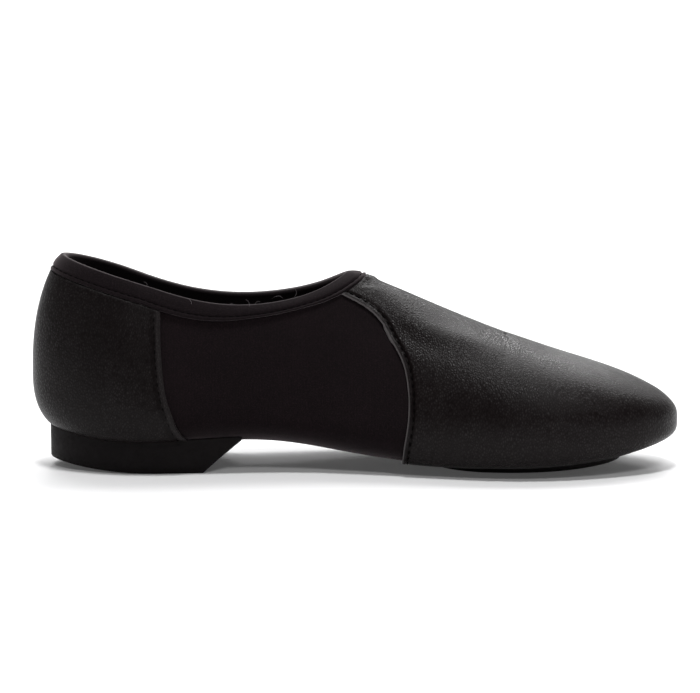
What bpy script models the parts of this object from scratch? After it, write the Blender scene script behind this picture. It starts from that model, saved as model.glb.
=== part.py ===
"""Left slip-on jazz shoe with a split sole, standing empty on the floor.

The frame: +X to the toe, +Y to the outer side of the foot, +Z up, floor at z = 0, and the
origin on the floor under the middle of the shoe. One function gives the surface of the last,
and every piece is drawn on that surface: the stretch upper, the leather vamp and heel counter
that overlay it, the binding round its mouth, the insole inside, and the heel block and
forefoot pad below.
"""

import math

import bmesh
import bpy
import numpy as np
from mathutils import Vector

# Driving sizes, in metres
SHOE_LENGTH = 0.240
BALL_WIDTH = 0.080
INSTEP_HEIGHT = 0.064
BACK_HEIGHT = 0.069
HEEL_HEIGHT = 0.0097
SOLE_THICKNESS = 0.0029
TOE_SPRING = 0.0075
ARCH_RISE = 0.0025
SWING = 0.0055
COLLAR_DROP = 0.0010
PAD_PRESS = 0.0002

# Materials' thicknesses, and the gap between neighbouring pieces
WALL = 0.0014
LEATHER = 0.0009
INSOLE_THICKNESS = 0.0020
BINDING_THICKNESS = 0.0013
BINDING_DEPTH = 0.0075
BINDING_INNER_SHARE = 0.85
BINDING_CROWN = 1.1
GAP = 0.0003
BINDING_GAP = 0.00045

# The heel block: where its breast meets the floor and the arch, its flat tread and the
# height to which the tread lifts at the back
HEEL_SHARE = 0.865
BREAST_FLOOR = 0.263
BREAST_TOP = 0.325
BREAST_HOLLOW = 0.0012
TREAD_START = 0.190
TREAD_LIFT = 0.0032

# The forefoot pad: its ends as shares of the last, its half width and its corners
PAD_START = 0.622
PAD_END = 0.916
PAD_HALF_WIDTH = 0.0235
PAD_ROUNDNESS = 2.5

# The openings under the upper that the heel block and the pad close, and the insole's edge
LASTING_MARGIN = 0.0065
INSOLE_SHARE = 0.82
HEEL_ROUNDNESS = 1.95
TOE_ROUNDNESS = 2.1

# The last, a row for each section from heel to toe. Half width is a share of half the ball,
# swing a share of SWING towards the outer side, lift a share of how much higher the heel
# seat is than the forefoot, spring and arch shares of TOE_SPRING and ARCH_RISE, and widest
# and top shares of INSTEP_HEIGHT above the underside. The powers round the section below
# and above its widest level: 2 is an ellipse, more is squarer, less is more pointed.
LAST_COLUMNS = (
    "share", "half_width", "swing", "lift", "spring", "arch",
    "widest", "top", "under_power", "over_power",
)
LAST_ROWS = (
    (0.000, 0.644, 0.00, 1.00, 0.00, 0.0, 0.420, 1.410, 3.1, 2.20),
    (0.060, 0.665, 0.00, 1.00, 0.00, 0.0, 0.310, 1.375, 3.7, 1.90),
    (0.175, 0.691, 0.00, 1.00, 0.00, 0.0, 0.220, 1.280, 4.0, 1.33),
    (0.280, 0.678, 0.35, 0.90, 0.00, 0.5, 0.205, 1.183, 3.3, 1.48),
    (0.380, 0.693, 0.85, 0.62, 0.00, 1.0, 0.205, 1.088, 2.8, 1.50),
    (0.460, 0.742, 1.00, 0.30, 0.00, 0.7, 0.210, 1.053, 2.9, 1.42),
    (0.520, 0.807, 0.95, 0.12, 0.00, 0.3, 0.210, 1.022, 3.2, 1.48),
    (0.600, 0.902, 0.73, 0.00, 0.00, 0.0, 0.205, 0.908, 3.8, 1.70),
    (0.720, 1.000, 0.20, 0.00, 0.00, 0.0, 0.190, 0.716, 4.0, 2.10),
    (0.820, 0.969, -0.18, 0.00, 0.10, 0.0, 0.175, 0.577, 4.0, 2.50),
    (0.920, 0.902, -0.45, 0.00, 0.46, 0.0, 0.153, 0.448, 4.2, 3.00),
    (1.000, 0.825, -0.73, 0.00, 0.96, 0.0, 0.117, 0.303, 4.5, 3.30),
)

# The topline, rows of place along the last and height above the underside as a share of
# BACK_HEIGHT, and where along the last its outer side dips
TOPLINE_ROWS = (
    (0.000, 1.035),
    (0.034, 1.000),
    (0.146, 0.881),
    (0.230, 0.793),
    (0.317, 0.762),
    (0.400, 0.810),
    (0.454, 0.888),
    (0.492, 0.970),
    (0.540, 1.080),
)
DIP_START = 0.03
DIP_LENGTH = 0.46

# The two seams up the side, from the sole to the binding: rows of height above the underside
# as a share of INSTEP_HEIGHT, and place along the last
VAMP_SEAM_ROWS = (
    (-0.02, 0.572),
    (0.144, 0.578),
    (0.300, 0.584),
    (0.390, 0.5845),
    (0.500, 0.5815),
    (0.610, 0.573),
    (0.720, 0.555),
    (0.825, 0.534),
    (0.900, 0.498),
    (0.945, 0.462),
    (1.020, 0.400),
)
COUNTER_SEAM_ROWS = (
    (-0.02, 0.258),
    (0.023, 0.248),
    (0.084, 0.230),
    (0.183, 0.216),
    (0.289, 0.206),
    (0.420, 0.200),
    (0.553, 0.197),
    (0.900, 0.196),
    (1.200, 0.196),
)

# Where the vamp's seam runs under the binding
VAMP_TOP_START = 0.466

# How many facets each piece has
HEEL_FAN = 9
TOE_FAN = 11
SIDE_COLUMNS = 19
THROAT_STEPS = (-0.0110, -0.0072, -0.0042, -0.0022, -0.0008, 0.0, 0.0035)
PAD_STEPS = (-0.0008, 0.0002, 0.0015, 0.0045)
BREAST_STEPS = (-0.88, -0.74, -0.5, 0.0, 0.5, 0.74, 0.88)
UNDER_ROWS = 5
OVER_ROWS = 7
VAMP_THROAT_COLUMNS = 5
COUNTER_FRONT_COLUMNS = 3
COUNTER_ROWS = 9
PAD_COLUMNS = 36
BINDING_STEPS = 4
INSOLE_SECTIONS = (6, 12, 8)
HEEL_RINGS = (0.0, 0.4, 0.65, 0.82, 0.92, 1.0)
INSOLE_RINGS = (0.0, 0.5, 0.78, 1.0)
PAD_RINGS = (0.0, 0.6, 1.0)

SKIN = GAP + LEATHER
LAST_LENGTH = SHOE_LENGTH - 2 * SKIN
REAR, TIP = -LAST_LENGTH / 2, LAST_LENGTH / 2
FOREFOOT_UNDERSIDE = GAP + SOLE_THICKNESS - PAD_PRESS
MIDDLE = Vector((0.0, 0.0, INSTEP_HEIGHT / 2))


def spline(rows):
    """A smooth curve through the rows: a function from the first column to the others."""
    table = np.array(rows, float)
    knots, values = table[:, 0], table[:, 1:]
    gaps = np.diff(knots)
    system = np.eye(len(knots))
    bends = np.zeros_like(values)
    for i in range(1, len(knots) - 1):
        system[i, i - 1 : i + 2] = gaps[i - 1], 2 * (gaps[i - 1] + gaps[i]), gaps[i]
        slopes = np.diff(values[i - 1 : i + 2], axis=0) / gaps[i - 1 : i + 1, None]
        bends[i] = 6 * (slopes[1] - slopes[0])
    bends = np.linalg.solve(system, bends)

    def at(places):
        places = np.clip(np.asarray(places, float), knots[0], knots[-1])
        i = np.clip(np.searchsorted(knots, places) - 1, 0, len(gaps) - 1)
        h = gaps[i][..., None]
        b = (places - knots[i])[..., None] / h
        a = 1 - b
        curve = (a**3 - a) * bends[i] + (b**3 - b) * bends[i + 1]
        return a * values[i] + b * values[i + 1] + curve * h**2 / 6

    return at


last_shape = spline(LAST_ROWS)
topline_shape = spline(TOPLINE_ROWS)
vamp_seam = spline(VAMP_SEAM_ROWS)
counter_seam = spline(COUNTER_SEAM_ROWS)


def share_of(x):
    return (np.asarray(x, float) - REAR) / LAST_LENGTH


def x_of(share):
    return REAR + share * LAST_LENGTH


def column(x, name):
    return last_shape(share_of(x))[..., LAST_COLUMNS.index(name) - 1]


def half_girth(x):
    return column(x, "half_width") * (BALL_WIDTH / 2 - SKIN)


def widest_between(first, end):
    places = np.linspace(x_of(first), x_of(end), 2001)
    return float(places[np.argmax(half_girth(places))])


# The sections stand square to X between the heel's and the ball's widest places, and fan
# out about those places at both ends
HEEL_HUB = widest_between(0.08, 0.30)
TOE_HUB = widest_between(0.60, 0.85)


def half_width(x):
    """Half the width of the last's outline, which closes round at both ends."""
    back = np.clip((HEEL_HUB - x) / (HEEL_HUB - REAR), 0, 1)
    front = np.clip((x - TOE_HUB) / (TIP - TOE_HUB), 0, 1)
    close = (1 - back**HEEL_ROUNDNESS) ** (1 / HEEL_ROUNDNESS)
    close = close * (1 - front**TOE_ROUNDNESS) ** (1 / TOE_ROUNDNESS)
    return half_girth(x) * close


def centre_line(x):
    return column(x, "swing") * SWING


def underside(x, across=0.0):
    """The lowest level of the last at x. across is 0 at the middle, 1 at the outer edge."""
    seat = column(x, "lift") * (HEEL_HEIGHT + GAP - FOREFOOT_UNDERSIDE)
    arch = column(x, "arch") * ARCH_RISE * (1 - across) / 2
    return FOREFOOT_UNDERSIDE + seat + column(x, "spring") * TOE_SPRING + arch


def widest_level(x):
    return underside(x, 1.0) + column(x, "widest") * INSTEP_HEIGHT


def top_level(x):
    return underside(x, 1.0) + column(x, "top") * INSTEP_HEIGHT


def topline_level(x, y):
    """The height of the collar's edge. It dips a little lower under the outer ankle."""
    share = share_of(x)
    dip = np.sin(np.pi * np.clip((share - DIP_START) / DIP_LENGTH, 0, 1)) ** 2
    outer = np.clip(y / half_girth(x), 0, 1)
    return underside(x, 1.0) + topline_shape(share)[..., 0] * BACK_HEIGHT - dip * outer * COLLAR_DROP


def height_on_last(x, across, spread, over, under_power, over_power):
    """Height on the section at x, where spread is the distance out as a share of the widest."""
    spread = np.clip(spread, 0, 1)
    middle = widest_level(x)
    below = (1 - spread**under_power) ** (1 / under_power)
    above = (1 - spread**over_power) ** (1 / over_power)
    low = middle - (middle - underside(x, across)) * below
    high = middle + (top_level(x) - middle) * above
    return np.where(over, high, low)


def station(place):
    """The ray of a section: place runs 0 to 1 round the heel, to 2 along the side, to 3 round
    the toe. It gives the hub, the direction, and how far out the outline lies."""
    place = np.asarray(place, float)
    heel_turn = np.clip(place, 0, 1) * math.pi / 2
    toe_turn = np.clip(place - 2, 0, 1) * math.pi / 2
    hub = HEEL_HUB + (TOE_HUB - HEEL_HUB) * np.clip(place - 1, 0, 1)
    edge = hub - (HEEL_HUB - REAR) * np.cos(heel_turn) * (place < 1)
    edge = edge + (TIP - TOE_HUB) * np.sin(toe_turn) * (place > 2)
    wide = half_width(edge)
    reach = np.hypot(wide, edge - hub)
    return hub, (edge - hub) / reach, wide / reach, reach


def place_of(x):
    """The station whose section stands at x, between the two hubs."""
    return 1 + (np.asarray(x, float) - HEEL_HUB) / (TOE_HUB - HEEL_HUB)


def on_last(place, side, turn):
    """The point of the last on a section. turn is 0 at the widest level, minus a right angle
    at the middle of the underside, and a right angle on the ridge."""
    hub, along, out, reach = station(place)
    edge = hub + along * reach
    under_power, over_power = column(edge, "under_power"), column(edge, "over_power")
    power = np.where(turn > 0, over_power, under_power)
    spread = np.clip(np.cos(turn), 0, 1) ** (2 / power)
    rise = np.clip(np.sin(np.abs(turn)), 0, 1) ** (2 / power)
    x = hub + along * reach * spread
    y = side * out * reach * spread
    middle = widest_level(x)
    low = middle - (middle - underside(x, y / half_girth(x))) * rise
    high = middle + (top_level(x) - middle) * rise
    z = np.where(turn > 0, high, low)
    return np.stack([x, y + centre_line(x), z], axis=-1)


def outline_reach(hub, along, out):
    """How far the outline lies from a hub in a direction, found by halving."""
    near, far = np.zeros_like(out), np.full_like(out, LAST_LENGTH)
    for _ in range(28):
        middle = (near + far) / 2
        inside = middle * out < half_width(hub + along * middle)
        inside &= (hub + along * middle > REAR) & (hub + along * middle < TIP)
        near, far = np.where(inside, middle, near), np.where(inside, far, middle)
    return (near + far) / 2


def plan_of(x, y):
    """Spread and the outline's own x for a point in plan, with y from the centre line."""
    hub = np.clip(x, HEEL_HUB, TOE_HUB)
    distance = np.hypot(x - hub, y)
    safe = np.maximum(distance, 1e-9)
    along = np.where(distance > 1e-9, (x - hub) / safe, 0.0)
    out = np.where(distance > 1e-9, np.abs(y) / safe, 1.0)
    reach = outline_reach(hub, along, out)
    return distance / reach, hub + along * reach


def underside_at(x, y):
    """The height of the last's underside over a point of the floor, y from the centre line."""
    spread, edge = plan_of(x, y)
    powers = column(edge, "under_power"), column(edge, "over_power")
    return height_on_last(x, y / half_girth(x), spread, False, *powers)


def excess(points):
    """Below 0 inside the last, 0 on its surface, above 0 outside."""
    x, z = points[..., 0], points[..., 2]
    y = points[..., 1] - centre_line(x)
    spread, edge = plan_of(x, y)
    middle = widest_level(x)
    low = (middle - z) / (middle - underside(x, y / half_girth(x)))
    high = (z - middle) / (top_level(x) - middle)
    over = z > middle
    power = np.where(over, column(edge, "over_power"), column(edge, "under_power"))
    return spread**power + np.abs(np.where(over, high, low)) ** power - 1


def steepest(points):
    """The slope of excess, by small steps along each axis."""
    step = 2e-5
    slopes = []
    for axis in np.eye(3) * step:
        slopes.append((excess(points + axis) - excess(points - axis)) / (2 * step))
    return np.stack(slopes, axis=-1)


def snap(points, offset=0.0):
    """Points moved onto the last and out from it by an offset, with their outward normals."""
    for _ in range(3):
        slope = steepest(points)
        points = points - excess(points)[..., None] * slope / (slope**2).sum(-1, keepdims=True)
    slope = steepest(points)
    normals = slope / np.linalg.norm(slope, axis=-1, keepdims=True)
    return points + offset * normals, normals


def halved(low, high, below):
    """The value between low and high where below stops being true."""
    for _ in range(26):
        middle = (low + high) / 2
        inside = below(middle)
        low, high = np.where(inside, middle, low), np.where(inside, high, middle)
    return (low + high) / 2


def rim_turn(place, side):
    """The turn of the collar's edge on a section, or a right angle where the upper is closed."""

    def under_the_topline(turn):
        point = on_last(place, side, turn)
        return point[..., 2] < topline_level(point[..., 0], point[..., 1])

    shape = np.zeros(np.shape(place))
    return halved(shape, shape + math.pi / 2, under_the_topline)


def throat():
    """Where the topline reaches the ridge: the front end of the mouth."""
    places = np.linspace(x_of(0.42), x_of(0.53), 4001)
    return float(places[np.argmax(topline_level(places, 0 * places) > top_level(places))])


THROAT = throat()
THROAT_PLACE = float(place_of(THROAT))


def sections():
    """The stations of the upper's sections, closer together where the mouth ends."""
    heel = np.linspace(0, 1, HEEL_FAN + 1)
    toe = np.linspace(2, 3, TOE_FAN + 1)
    side = np.linspace(1, 2, SIDE_COLUMNS + 1)
    at_throat, at_pad = THROAT + np.array(THROAT_STEPS), x_of(PAD_START) + np.array(PAD_STEPS)
    close = place_of(np.concatenate([at_throat, at_pad]))
    apart = np.abs(side[:, None] - close).min(axis=1)
    side = side[(apart > 0.4 / SIDE_COLUMNS) | (side == 1) | (side == 2)]
    return np.unique(np.concatenate([heel, side, close, toe]))


STATIONS = sections()


def rim_loop():
    """The collar's edge: outer side from back to throat, then the inner side to the back."""
    places = STATIONS[STATIONS < THROAT_PLACE + 1e-9]
    outer = on_last(places, 1.0, rim_turn(places, 1.0))
    inner = on_last(places, -1.0, rim_turn(places, -1.0))
    outer[-1, 1] = inner[-1, 1] = centre_line(THROAT)
    return np.concatenate([outer, inner[-2:0:-1]])


RIM = rim_loop()
RIM_MARKS = np.concatenate(
    [RIM + (np.roll(RIM, -1, axis=0) - RIM) * part for part in np.linspace(0, 1, 9)[:-1]]
)


def turns_below_binding(side):
    """The turn at which each section passes the lower edge of the binding."""

    def far_from_the_rim(turn):
        point = on_last(PLACES, side, turn)
        ways = np.linalg.norm(point[:, None, :] - RIM_MARKS, axis=-1)
        return ways.min(axis=-1) > BINDING_DEPTH + GAP

    top = np.where(PLACES < THROAT_PLACE, rim_turn(PLACES, side), math.pi / 2)
    return halved(0 * PLACES + 0.2, top, far_from_the_rim)


PLACES = np.linspace(0, 3, 601)
BELOW_BINDING = {side: turns_below_binding(side) for side in (1.0, -1.0)}


def looked_up(turns, place, side):
    """Reads a table of turns, one for each of PLACES and each side."""
    outer, inner = (np.interp(place, PLACES, turns[way]) for way in (1.0, -1.0))
    return np.where(side > 0, outer, inner)


def pad_outline(turn, margin=0.0):
    """The pad's edge in plan, y from the centre line, and inside it by a margin."""
    middle = (x_of(PAD_START) + x_of(PAD_END)) / 2
    length = (x_of(PAD_END) - x_of(PAD_START)) / 2 - margin
    cosine, sine = np.cos(turn), np.sin(turn)
    power = 2 / PAD_ROUNDNESS
    x = middle + length * np.sign(cosine) * np.abs(cosine) ** power
    return x, (PAD_HALF_WIDTH - margin) * np.sign(sine) * np.abs(sine) ** power


def inside_pad(x, y, margin):
    middle = (x_of(PAD_START) + x_of(PAD_END)) / 2
    length = (x_of(PAD_END) - x_of(PAD_START)) / 2 - margin
    return (np.abs(x - middle) / length) ** PAD_ROUNDNESS + (
        np.abs(y) / (PAD_HALF_WIDTH - margin)
    ) ** PAD_ROUNDNESS < 1


def inside_seat(x, y):
    """Whether a point in plan lies over the opening under the heel, which closes round in
    front, inside the heel block by the lasting margin."""
    front = x_of(BREAST_TOP) - LASTING_MARGIN
    ahead = np.clip((x - HEEL_HUB) / (front - HEEL_HUB), 0, None) ** PAD_ROUNDNESS
    spread = plan_of(x, y)[0] / (HEEL_SHARE - LASTING_MARGIN / half_girth(HEEL_HUB))
    return ahead + spread**2 < 1


def inside_heel(x, y, margin):
    """Whether a point in plan lies over the heel block's top, inside it by a margin."""
    spread, edge = plan_of(x, y)
    reach = np.hypot(edge - np.clip(x, HEEL_HUB, TOE_HUB), half_width(edge))
    reach = np.maximum(reach, 1e-6)
    return (spread < HEEL_SHARE - margin / reach) & (x < x_of(BREAST_TOP) - margin)


def turns_clear_of(covered):
    """The turn, below the widest level, at which each section stops at the edge of what
    covers it from below, or at the middle of the underside where nothing does."""

    def under_cover(side):
        def covered_at(turn):
            point = on_last(PLACES, side, turn)
            return covered(point[..., 0], point[..., 1] - centre_line(point[..., 0]))

        return halved(0 * PLACES - math.pi / 2, 0 * PLACES, covered_at)

    return {side: under_cover(side) for side in (1.0, -1.0)}


def new_object(name, bm, colour, roughness):
    """A named object with its own material, from a finished bmesh."""
    mesh = bpy.data.meshes.new(name)
    bm.to_mesh(mesh)
    bm.free()
    mesh.shade_smooth()
    made = bpy.data.objects.new(name, mesh)
    bpy.context.scene.collection.objects.link(made)
    material = bpy.data.materials.new(name)
    material.use_nodes = True
    shader = material.node_tree.nodes["Principled BSDF"]
    shader.inputs["Base Color"].default_value = (*colour, 1.0)
    shader.inputs["Roughness"].default_value = roughness
    shader.inputs["Metallic"].default_value = 0.0
    mesh.materials.append(material)
    return made


def wrapped_grid(columns, rows, place_points):
    """A grid bent to a shape: place_points takes how far along and up each corner is, 0 to 1.
    Corners that fall together become one."""
    bm = bmesh.new()
    bmesh.ops.create_grid(bm, x_segments=columns, y_segments=rows, size=0.5)
    bm.verts.ensure_lookup_table()
    flat = np.array([vert.co[:2] for vert in bm.verts]) + 0.5
    grid = np.rint(flat * [columns, rows])
    points = place_points(grid[:, 0] / columns, grid[:, 1] / rows)
    for vert, point in zip(bm.verts, points):
        vert.co = point
    bmesh.ops.remove_doubles(bm, verts=bm.verts, dist=6e-5)
    return bm


def turn_outward(bm):
    """Reverses the faces of a sheet if they look at the middle of the shoe."""
    bm.normal_update()
    looks = sum(
        face.normal.dot(face.calc_center_median() - MIDDLE) * face.calc_area()
        for face in bm.faces
    )
    if looks < 0:
        bmesh.ops.reverse_faces(bm, faces=bm.faces)


def thicken(made, thickness, outward):
    modifier = made.modifiers.new("wall", "SOLIDIFY")
    modifier.thickness = thickness
    modifier.offset = 1.0 if outward else -1.0
    modifier.use_rim = True


def round_trip(along, stations):
    """Splits a way right round the shoe into a station and a side: outer side from the heel to
    the toe, then the inner side back."""
    count = len(stations) - 1
    step = along * 2 * count
    outer = step <= count
    at = np.where(outer, step, 2 * count - step)
    return np.interp(at, np.arange(count + 1), stations), np.where(outer, 1.0, -1.0)


def panel_turn(low, high, up):
    """The turn of a row of a panel, with the upper's own rows below and above the widest."""
    step = up * (UNDER_ROWS + OVER_ROWS)
    below = low * (1 - step / UNDER_ROWS)
    above = high * (step - UNDER_ROWS) / OVER_ROWS
    return np.where(step <= UNDER_ROWS, below, above)


def make_upper():
    """The stretch upper: one hollow wall, open at the mouth and over the heel and the pad."""
    openings = turns_clear_of(
        lambda x, y: inside_pad(x, y, LASTING_MARGIN) | inside_seat(x, y)
    )

    def place_points(along, up):
        place, side = round_trip(along, STATIONS)
        low = looked_up(openings, place, side)
        high = np.where(place < THROAT_PLACE - 1e-9, rim_turn(place, side), math.pi / 2)
        return on_last(place, side, panel_turn(low, high, up))

    bm = wrapped_grid(2 * (len(STATIONS) - 1), UNDER_ROWS + OVER_ROWS, place_points)
    turn_outward(bm)
    upper = new_object("upper", bm, (0.018, 0.015, 0.017), 0.9)
    thicken(upper, WALL, outward=False)


def seam_place(seam, first, end, side, turn_at):
    """The station at which each row of a panel meets a seam, between two stations."""

    def behind_the_seam(place):
        point = on_last(place, side, turn_at(place))
        height = (point[..., 2] - underside(point[..., 0], 1.0)) / INSTEP_HEIGHT
        return point[..., 0] < x_of(seam(height)[..., 0])

    return halved(0 * side + first, 0 * side + end, behind_the_seam)


def make_vamp():
    """The leather vamp: over the toe and instep, from the pad's edge up to the ridge, with its
    back edge along the side seam and under the binding."""
    top_start = float(place_of(x_of(VAMP_TOP_START)))
    ridge = float(place_of(THROAT + BINDING_DEPTH + GAP))
    at_throat = np.linspace(top_start, ridge, VAMP_THROAT_COLUMNS + 1)
    beyond = STATIONS[STATIONS > ridge + 0.3 / SIDE_COLUMNS]
    stations = np.concatenate([at_throat, beyond])
    fade_end = float(place_of(x_of(PAD_START) + PAD_STEPS[0]))
    round_pad = turns_clear_of(lambda x, y: inside_pad(x, y, -GAP * 2))

    def place_points(along, up):
        place, side = round_trip(along, stations)
        fade = np.clip((fade_end - place) / (fade_end - top_start), 0, 1)

        def turn_at(here):
            low = looked_up(round_pad, here, side)
            high = looked_up(BELOW_BINDING, here, side)
            return panel_turn(low, high, up)

        start = seam_place(vamp_seam, 1.3, 2.0, side, turn_at)
        place = place + (start - top_start) * fade
        points = on_last(place, side, turn_at(place))
        return snap(points, GAP)[0]

    bm = wrapped_grid(2 * (len(stations) - 1), UNDER_ROWS + OVER_ROWS, place_points)
    turn_outward(bm)
    vamp = new_object("vamp", bm, (0.022, 0.021, 0.021), 0.5)
    thicken(vamp, LEATHER, outward=True)


def make_counter():
    """The leather heel counter: round the heel from the block up to the binding, with its
    front edges along the back seams."""
    back = np.linspace(0, 1, HEEL_FAN + 1)
    end = float(place_of(x_of(COUNTER_SEAM_ROWS[0][1])))
    stations = np.concatenate([back, np.linspace(1, end, COUNTER_FRONT_COLUMNS + 1)[1:]])
    fade_start = 0.6
    round_heel = turns_clear_of(lambda x, y: inside_heel(x, y, -GAP * 2))

    def place_points(along, up):
        side = np.where(along < 0.5, -1.0, 1.0)
        place = np.interp(np.abs(2 * along - 1), np.linspace(0, 1, len(stations)), stations)
        fade = np.clip((place - fade_start) / (end - fade_start), 0, 1) ** 1.3

        def turn_at(here):
            low = looked_up(round_heel, here, side)
            high = looked_up(BELOW_BINDING, here, side)
            return low + (high - low) * up

        front = seam_place(counter_seam, 1.0, 1.4, side, turn_at)
        place = place + (front - end) * fade
        points = on_last(place, side, turn_at(place))
        return snap(points, GAP)[0]

    bm = wrapped_grid(2 * (len(stations) - 1), COUNTER_ROWS, place_points)
    turn_outward(bm)
    counter = new_object("heel_counter", bm, (0.022, 0.021, 0.021), 0.6)
    thicken(counter, LEATHER, outward=True)


def make_binding():
    """The folded jersey binding: a channel that grips the collar's edge all the way round."""
    ahead, behind = np.roll(RIM, -1, axis=0), np.roll(RIM, 1, axis=0)
    ways = (ahead - behind) / np.linalg.norm(ahead - behind, axis=1, keepdims=True)
    edge, normals = snap(RIM)
    down = np.cross(normals, ways)
    down /= np.linalg.norm(down, axis=1, keepdims=True)

    # The channel's cross-section: how far below the collar's edge, and how far out of the
    # last's surface. It runs up the outside, over the edge and down the inside.
    thick, ease, wall = BINDING_THICKNESS, BINDING_GAP, WALL + BINDING_GAP
    depth, inner_depth = BINDING_DEPTH, BINDING_DEPTH * BINDING_INNER_SHARE
    full, lip, fold = thick * BINDING_CROWN, thick / 2, thick * 0.8
    section = (
        (depth, ease), (depth, ease + thick), (depth * 2 / 3, ease + full),
        (depth / 3, ease + full), (lip, ease + thick), (-ease - fold, 0.0),
        (-ease - thick, -WALL / 2), (-ease - fold, -WALL), (lip, -wall - thick),
        (inner_depth / 2, -wall - full), (inner_depth, -wall - thick), (inner_depth, -wall),
        (inner_depth / 2, -wall), (0.0, -wall), (-ease, -WALL / 2), (0.0, ease),
        (depth / 3, ease), (depth * 2 / 3, ease),
    )
    loops = []
    for below, out in section:
        points, way = edge, down
        for _ in range(BINDING_STEPS if below > 0 else 0):
            points, facing = snap(points + way * below / BINDING_STEPS)
            way = way - (way * facing).sum(1, keepdims=True) * facing
            way = way / np.linalg.norm(way, axis=1, keepdims=True)
        facing = snap(points)[1]
        loops.append(points + facing * out + down * min(below, 0.0))
    loops = np.array(loops)

    def place_points(along, up):
        ring = np.rint(up * len(section)).astype(int) % len(section)
        return loops[ring, np.rint(along * len(RIM)).astype(int) % len(RIM)]

    bm = wrapped_grid(len(RIM), len(section), place_points)
    bmesh.ops.recalc_face_normals(bm, faces=bm.faces)
    new_object("collar_binding", bm, (0.014, 0.012, 0.014), 0.95)


def under_last(x, y, offset):
    """Points under a place in plan, out from the last by an offset along its own slope."""
    z = underside_at(x, y)
    return snap(np.stack([x, y + centre_line(x), z], axis=-1), offset)[0]


def slab(name, hubs, edges, low_edges, ring_shares, top, bottom, colour, roughness):
    """A closed slab between two surfaces: each column runs from a hub out to the edge on
    top, down, and back to the hub below. Places in plan have y from the centre line."""
    columns, turn = len(edges), len(ring_shares)
    rings = np.array(ring_shares + ring_shares[::-1])

    def place_points(along, up):
        at = np.rint(along * columns).astype(int) % columns
        ring = np.rint(up * (len(rings) - 1)).astype(int)
        above = ring[:, None] < turn
        edge = np.where(above, edges[at], low_edges[at])
        x, y = (hubs[at] + (edge - hubs[at]) * rings[ring][:, None]).T
        return np.where(above, top(x, y), bottom(x, y))

    bm = wrapped_grid(columns, len(rings) - 1, place_points)
    bmesh.ops.recalc_face_normals(bm, faces=bm.faces)
    return new_object(name, bm, colour, roughness)


def make_insole():
    """The insole: a cushioned sheet on the floor of the upper, from heel to toe."""
    parts = [np.linspace(i, i + 1, count) for i, count in enumerate(INSOLE_SECTIONS)]
    stations = np.unique(np.concatenate(parts))
    count = 2 * (len(stations) - 1)
    place, side = round_trip(np.arange(count) / count, stations)
    hub, along, out, reach = station(place)
    hubs = np.stack([hub, 0 * hub], axis=-1)
    edges = hubs + INSOLE_SHARE * reach[:, None] * np.stack([along, side * out], axis=-1)

    def bottom(x, y):
        return under_last(x, y, -WALL - GAP)

    def top(x, y):
        return under_last(x, y, -WALL - GAP - INSOLE_THICKNESS)

    slab("insole", hubs, edges, edges, INSOLE_RINGS, top, bottom, (0.02, 0.02, 0.02), 0.95)


def heel_tread(x):
    """The height of the heel's lower face: flat at the front, then lifting on an arc."""
    start = x_of(TREAD_START)
    back = HEEL_HUB - HEEL_SHARE * (HEEL_HUB - REAR)
    radius = ((start - back) ** 2 + TREAD_LIFT**2) / (2 * TREAD_LIFT)
    return radius - np.sqrt(radius**2 - np.clip(start - x, 0, None) ** 2)


def heel_outline(breast, hollow):
    """The heel block's edge: from the breast round the back to the breast, then across."""
    front = float(place_of(x_of(breast)))
    tread = float(place_of(x_of(TREAD_START)))
    straight = np.linspace(front, tread, 4)[:-1]
    curved = np.concatenate([[tread], np.linspace(1, 0, HEEL_FAN + 1)])
    places = np.concatenate([straight, curved])
    hub, along, out, reach = station(places)
    x, y = hub + along * reach * HEEL_SHARE, out * reach * HEEL_SHARE
    outer, inner = np.stack([x, y], axis=-1), np.stack([x, -y], axis=-1)[-2::-1]
    across = np.array(BREAST_STEPS)
    dent = x_of(breast) - hollow * (1 - across**2)
    breast_edge = np.stack([dent, across * y[0]], axis=-1)
    return np.concatenate([outer, inner, breast_edge])


def make_heel():
    """The low rubber heel block: dished under the heel seat, with a slanted breast."""
    edges = heel_outline(BREAST_TOP, BREAST_HOLLOW)
    low_edges = heel_outline(BREAST_FLOOR, BREAST_HOLLOW)
    hubs = np.tile([HEEL_HUB, 0.0], (len(edges), 1))

    def top(x, y):
        return under_last(x, y, GAP)

    def bottom(x, y):
        return np.stack([x, y + centre_line(x), heel_tread(x)], axis=-1)

    slab("heel", hubs, edges, low_edges, HEEL_RINGS, top, bottom, (0.012, 0.012, 0.012), 0.7)


def make_pad():
    """The forefoot sole: a thin rubber pad under the ball, flat where it stands."""
    turns = np.linspace(0, 2 * math.pi, PAD_COLUMNS + 1)[:-1]
    edges = np.stack(pad_outline(turns), axis=-1)
    hubs = np.tile([(x_of(PAD_START) + x_of(PAD_END)) / 2, 0.0], (PAD_COLUMNS, 1))

    def top(x, y):
        return under_last(x, y, GAP)

    def bottom(x, y):
        z = np.maximum(underside_at(x, y) - GAP - SOLE_THICKNESS, 0.0)
        return np.stack([x, y + centre_line(x), z], axis=-1)

    slab("forefoot_sole", hubs, edges, edges, PAD_RINGS, top, bottom, (0.012, 0.012, 0.012), 0.75)


def clear_scene():
    for old in list(bpy.data.objects):
        bpy.data.objects.remove(old, do_unlink=True)


clear_scene()
make_upper()
make_vamp()
make_counter()
make_binding()
make_insole()
make_heel()
make_pad()
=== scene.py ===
"""A left slip-on jazz shoe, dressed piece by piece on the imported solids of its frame.

+X points to the toe, +Y to the outer side of the foot and +Z up, with the floor at z = 0, in
metres. Every piece lies on one surface, the last, which the upper's section sets out.
"""

import math

import bmesh
import bpy
import numpy as np
from mathutils import Matrix, Vector


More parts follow.
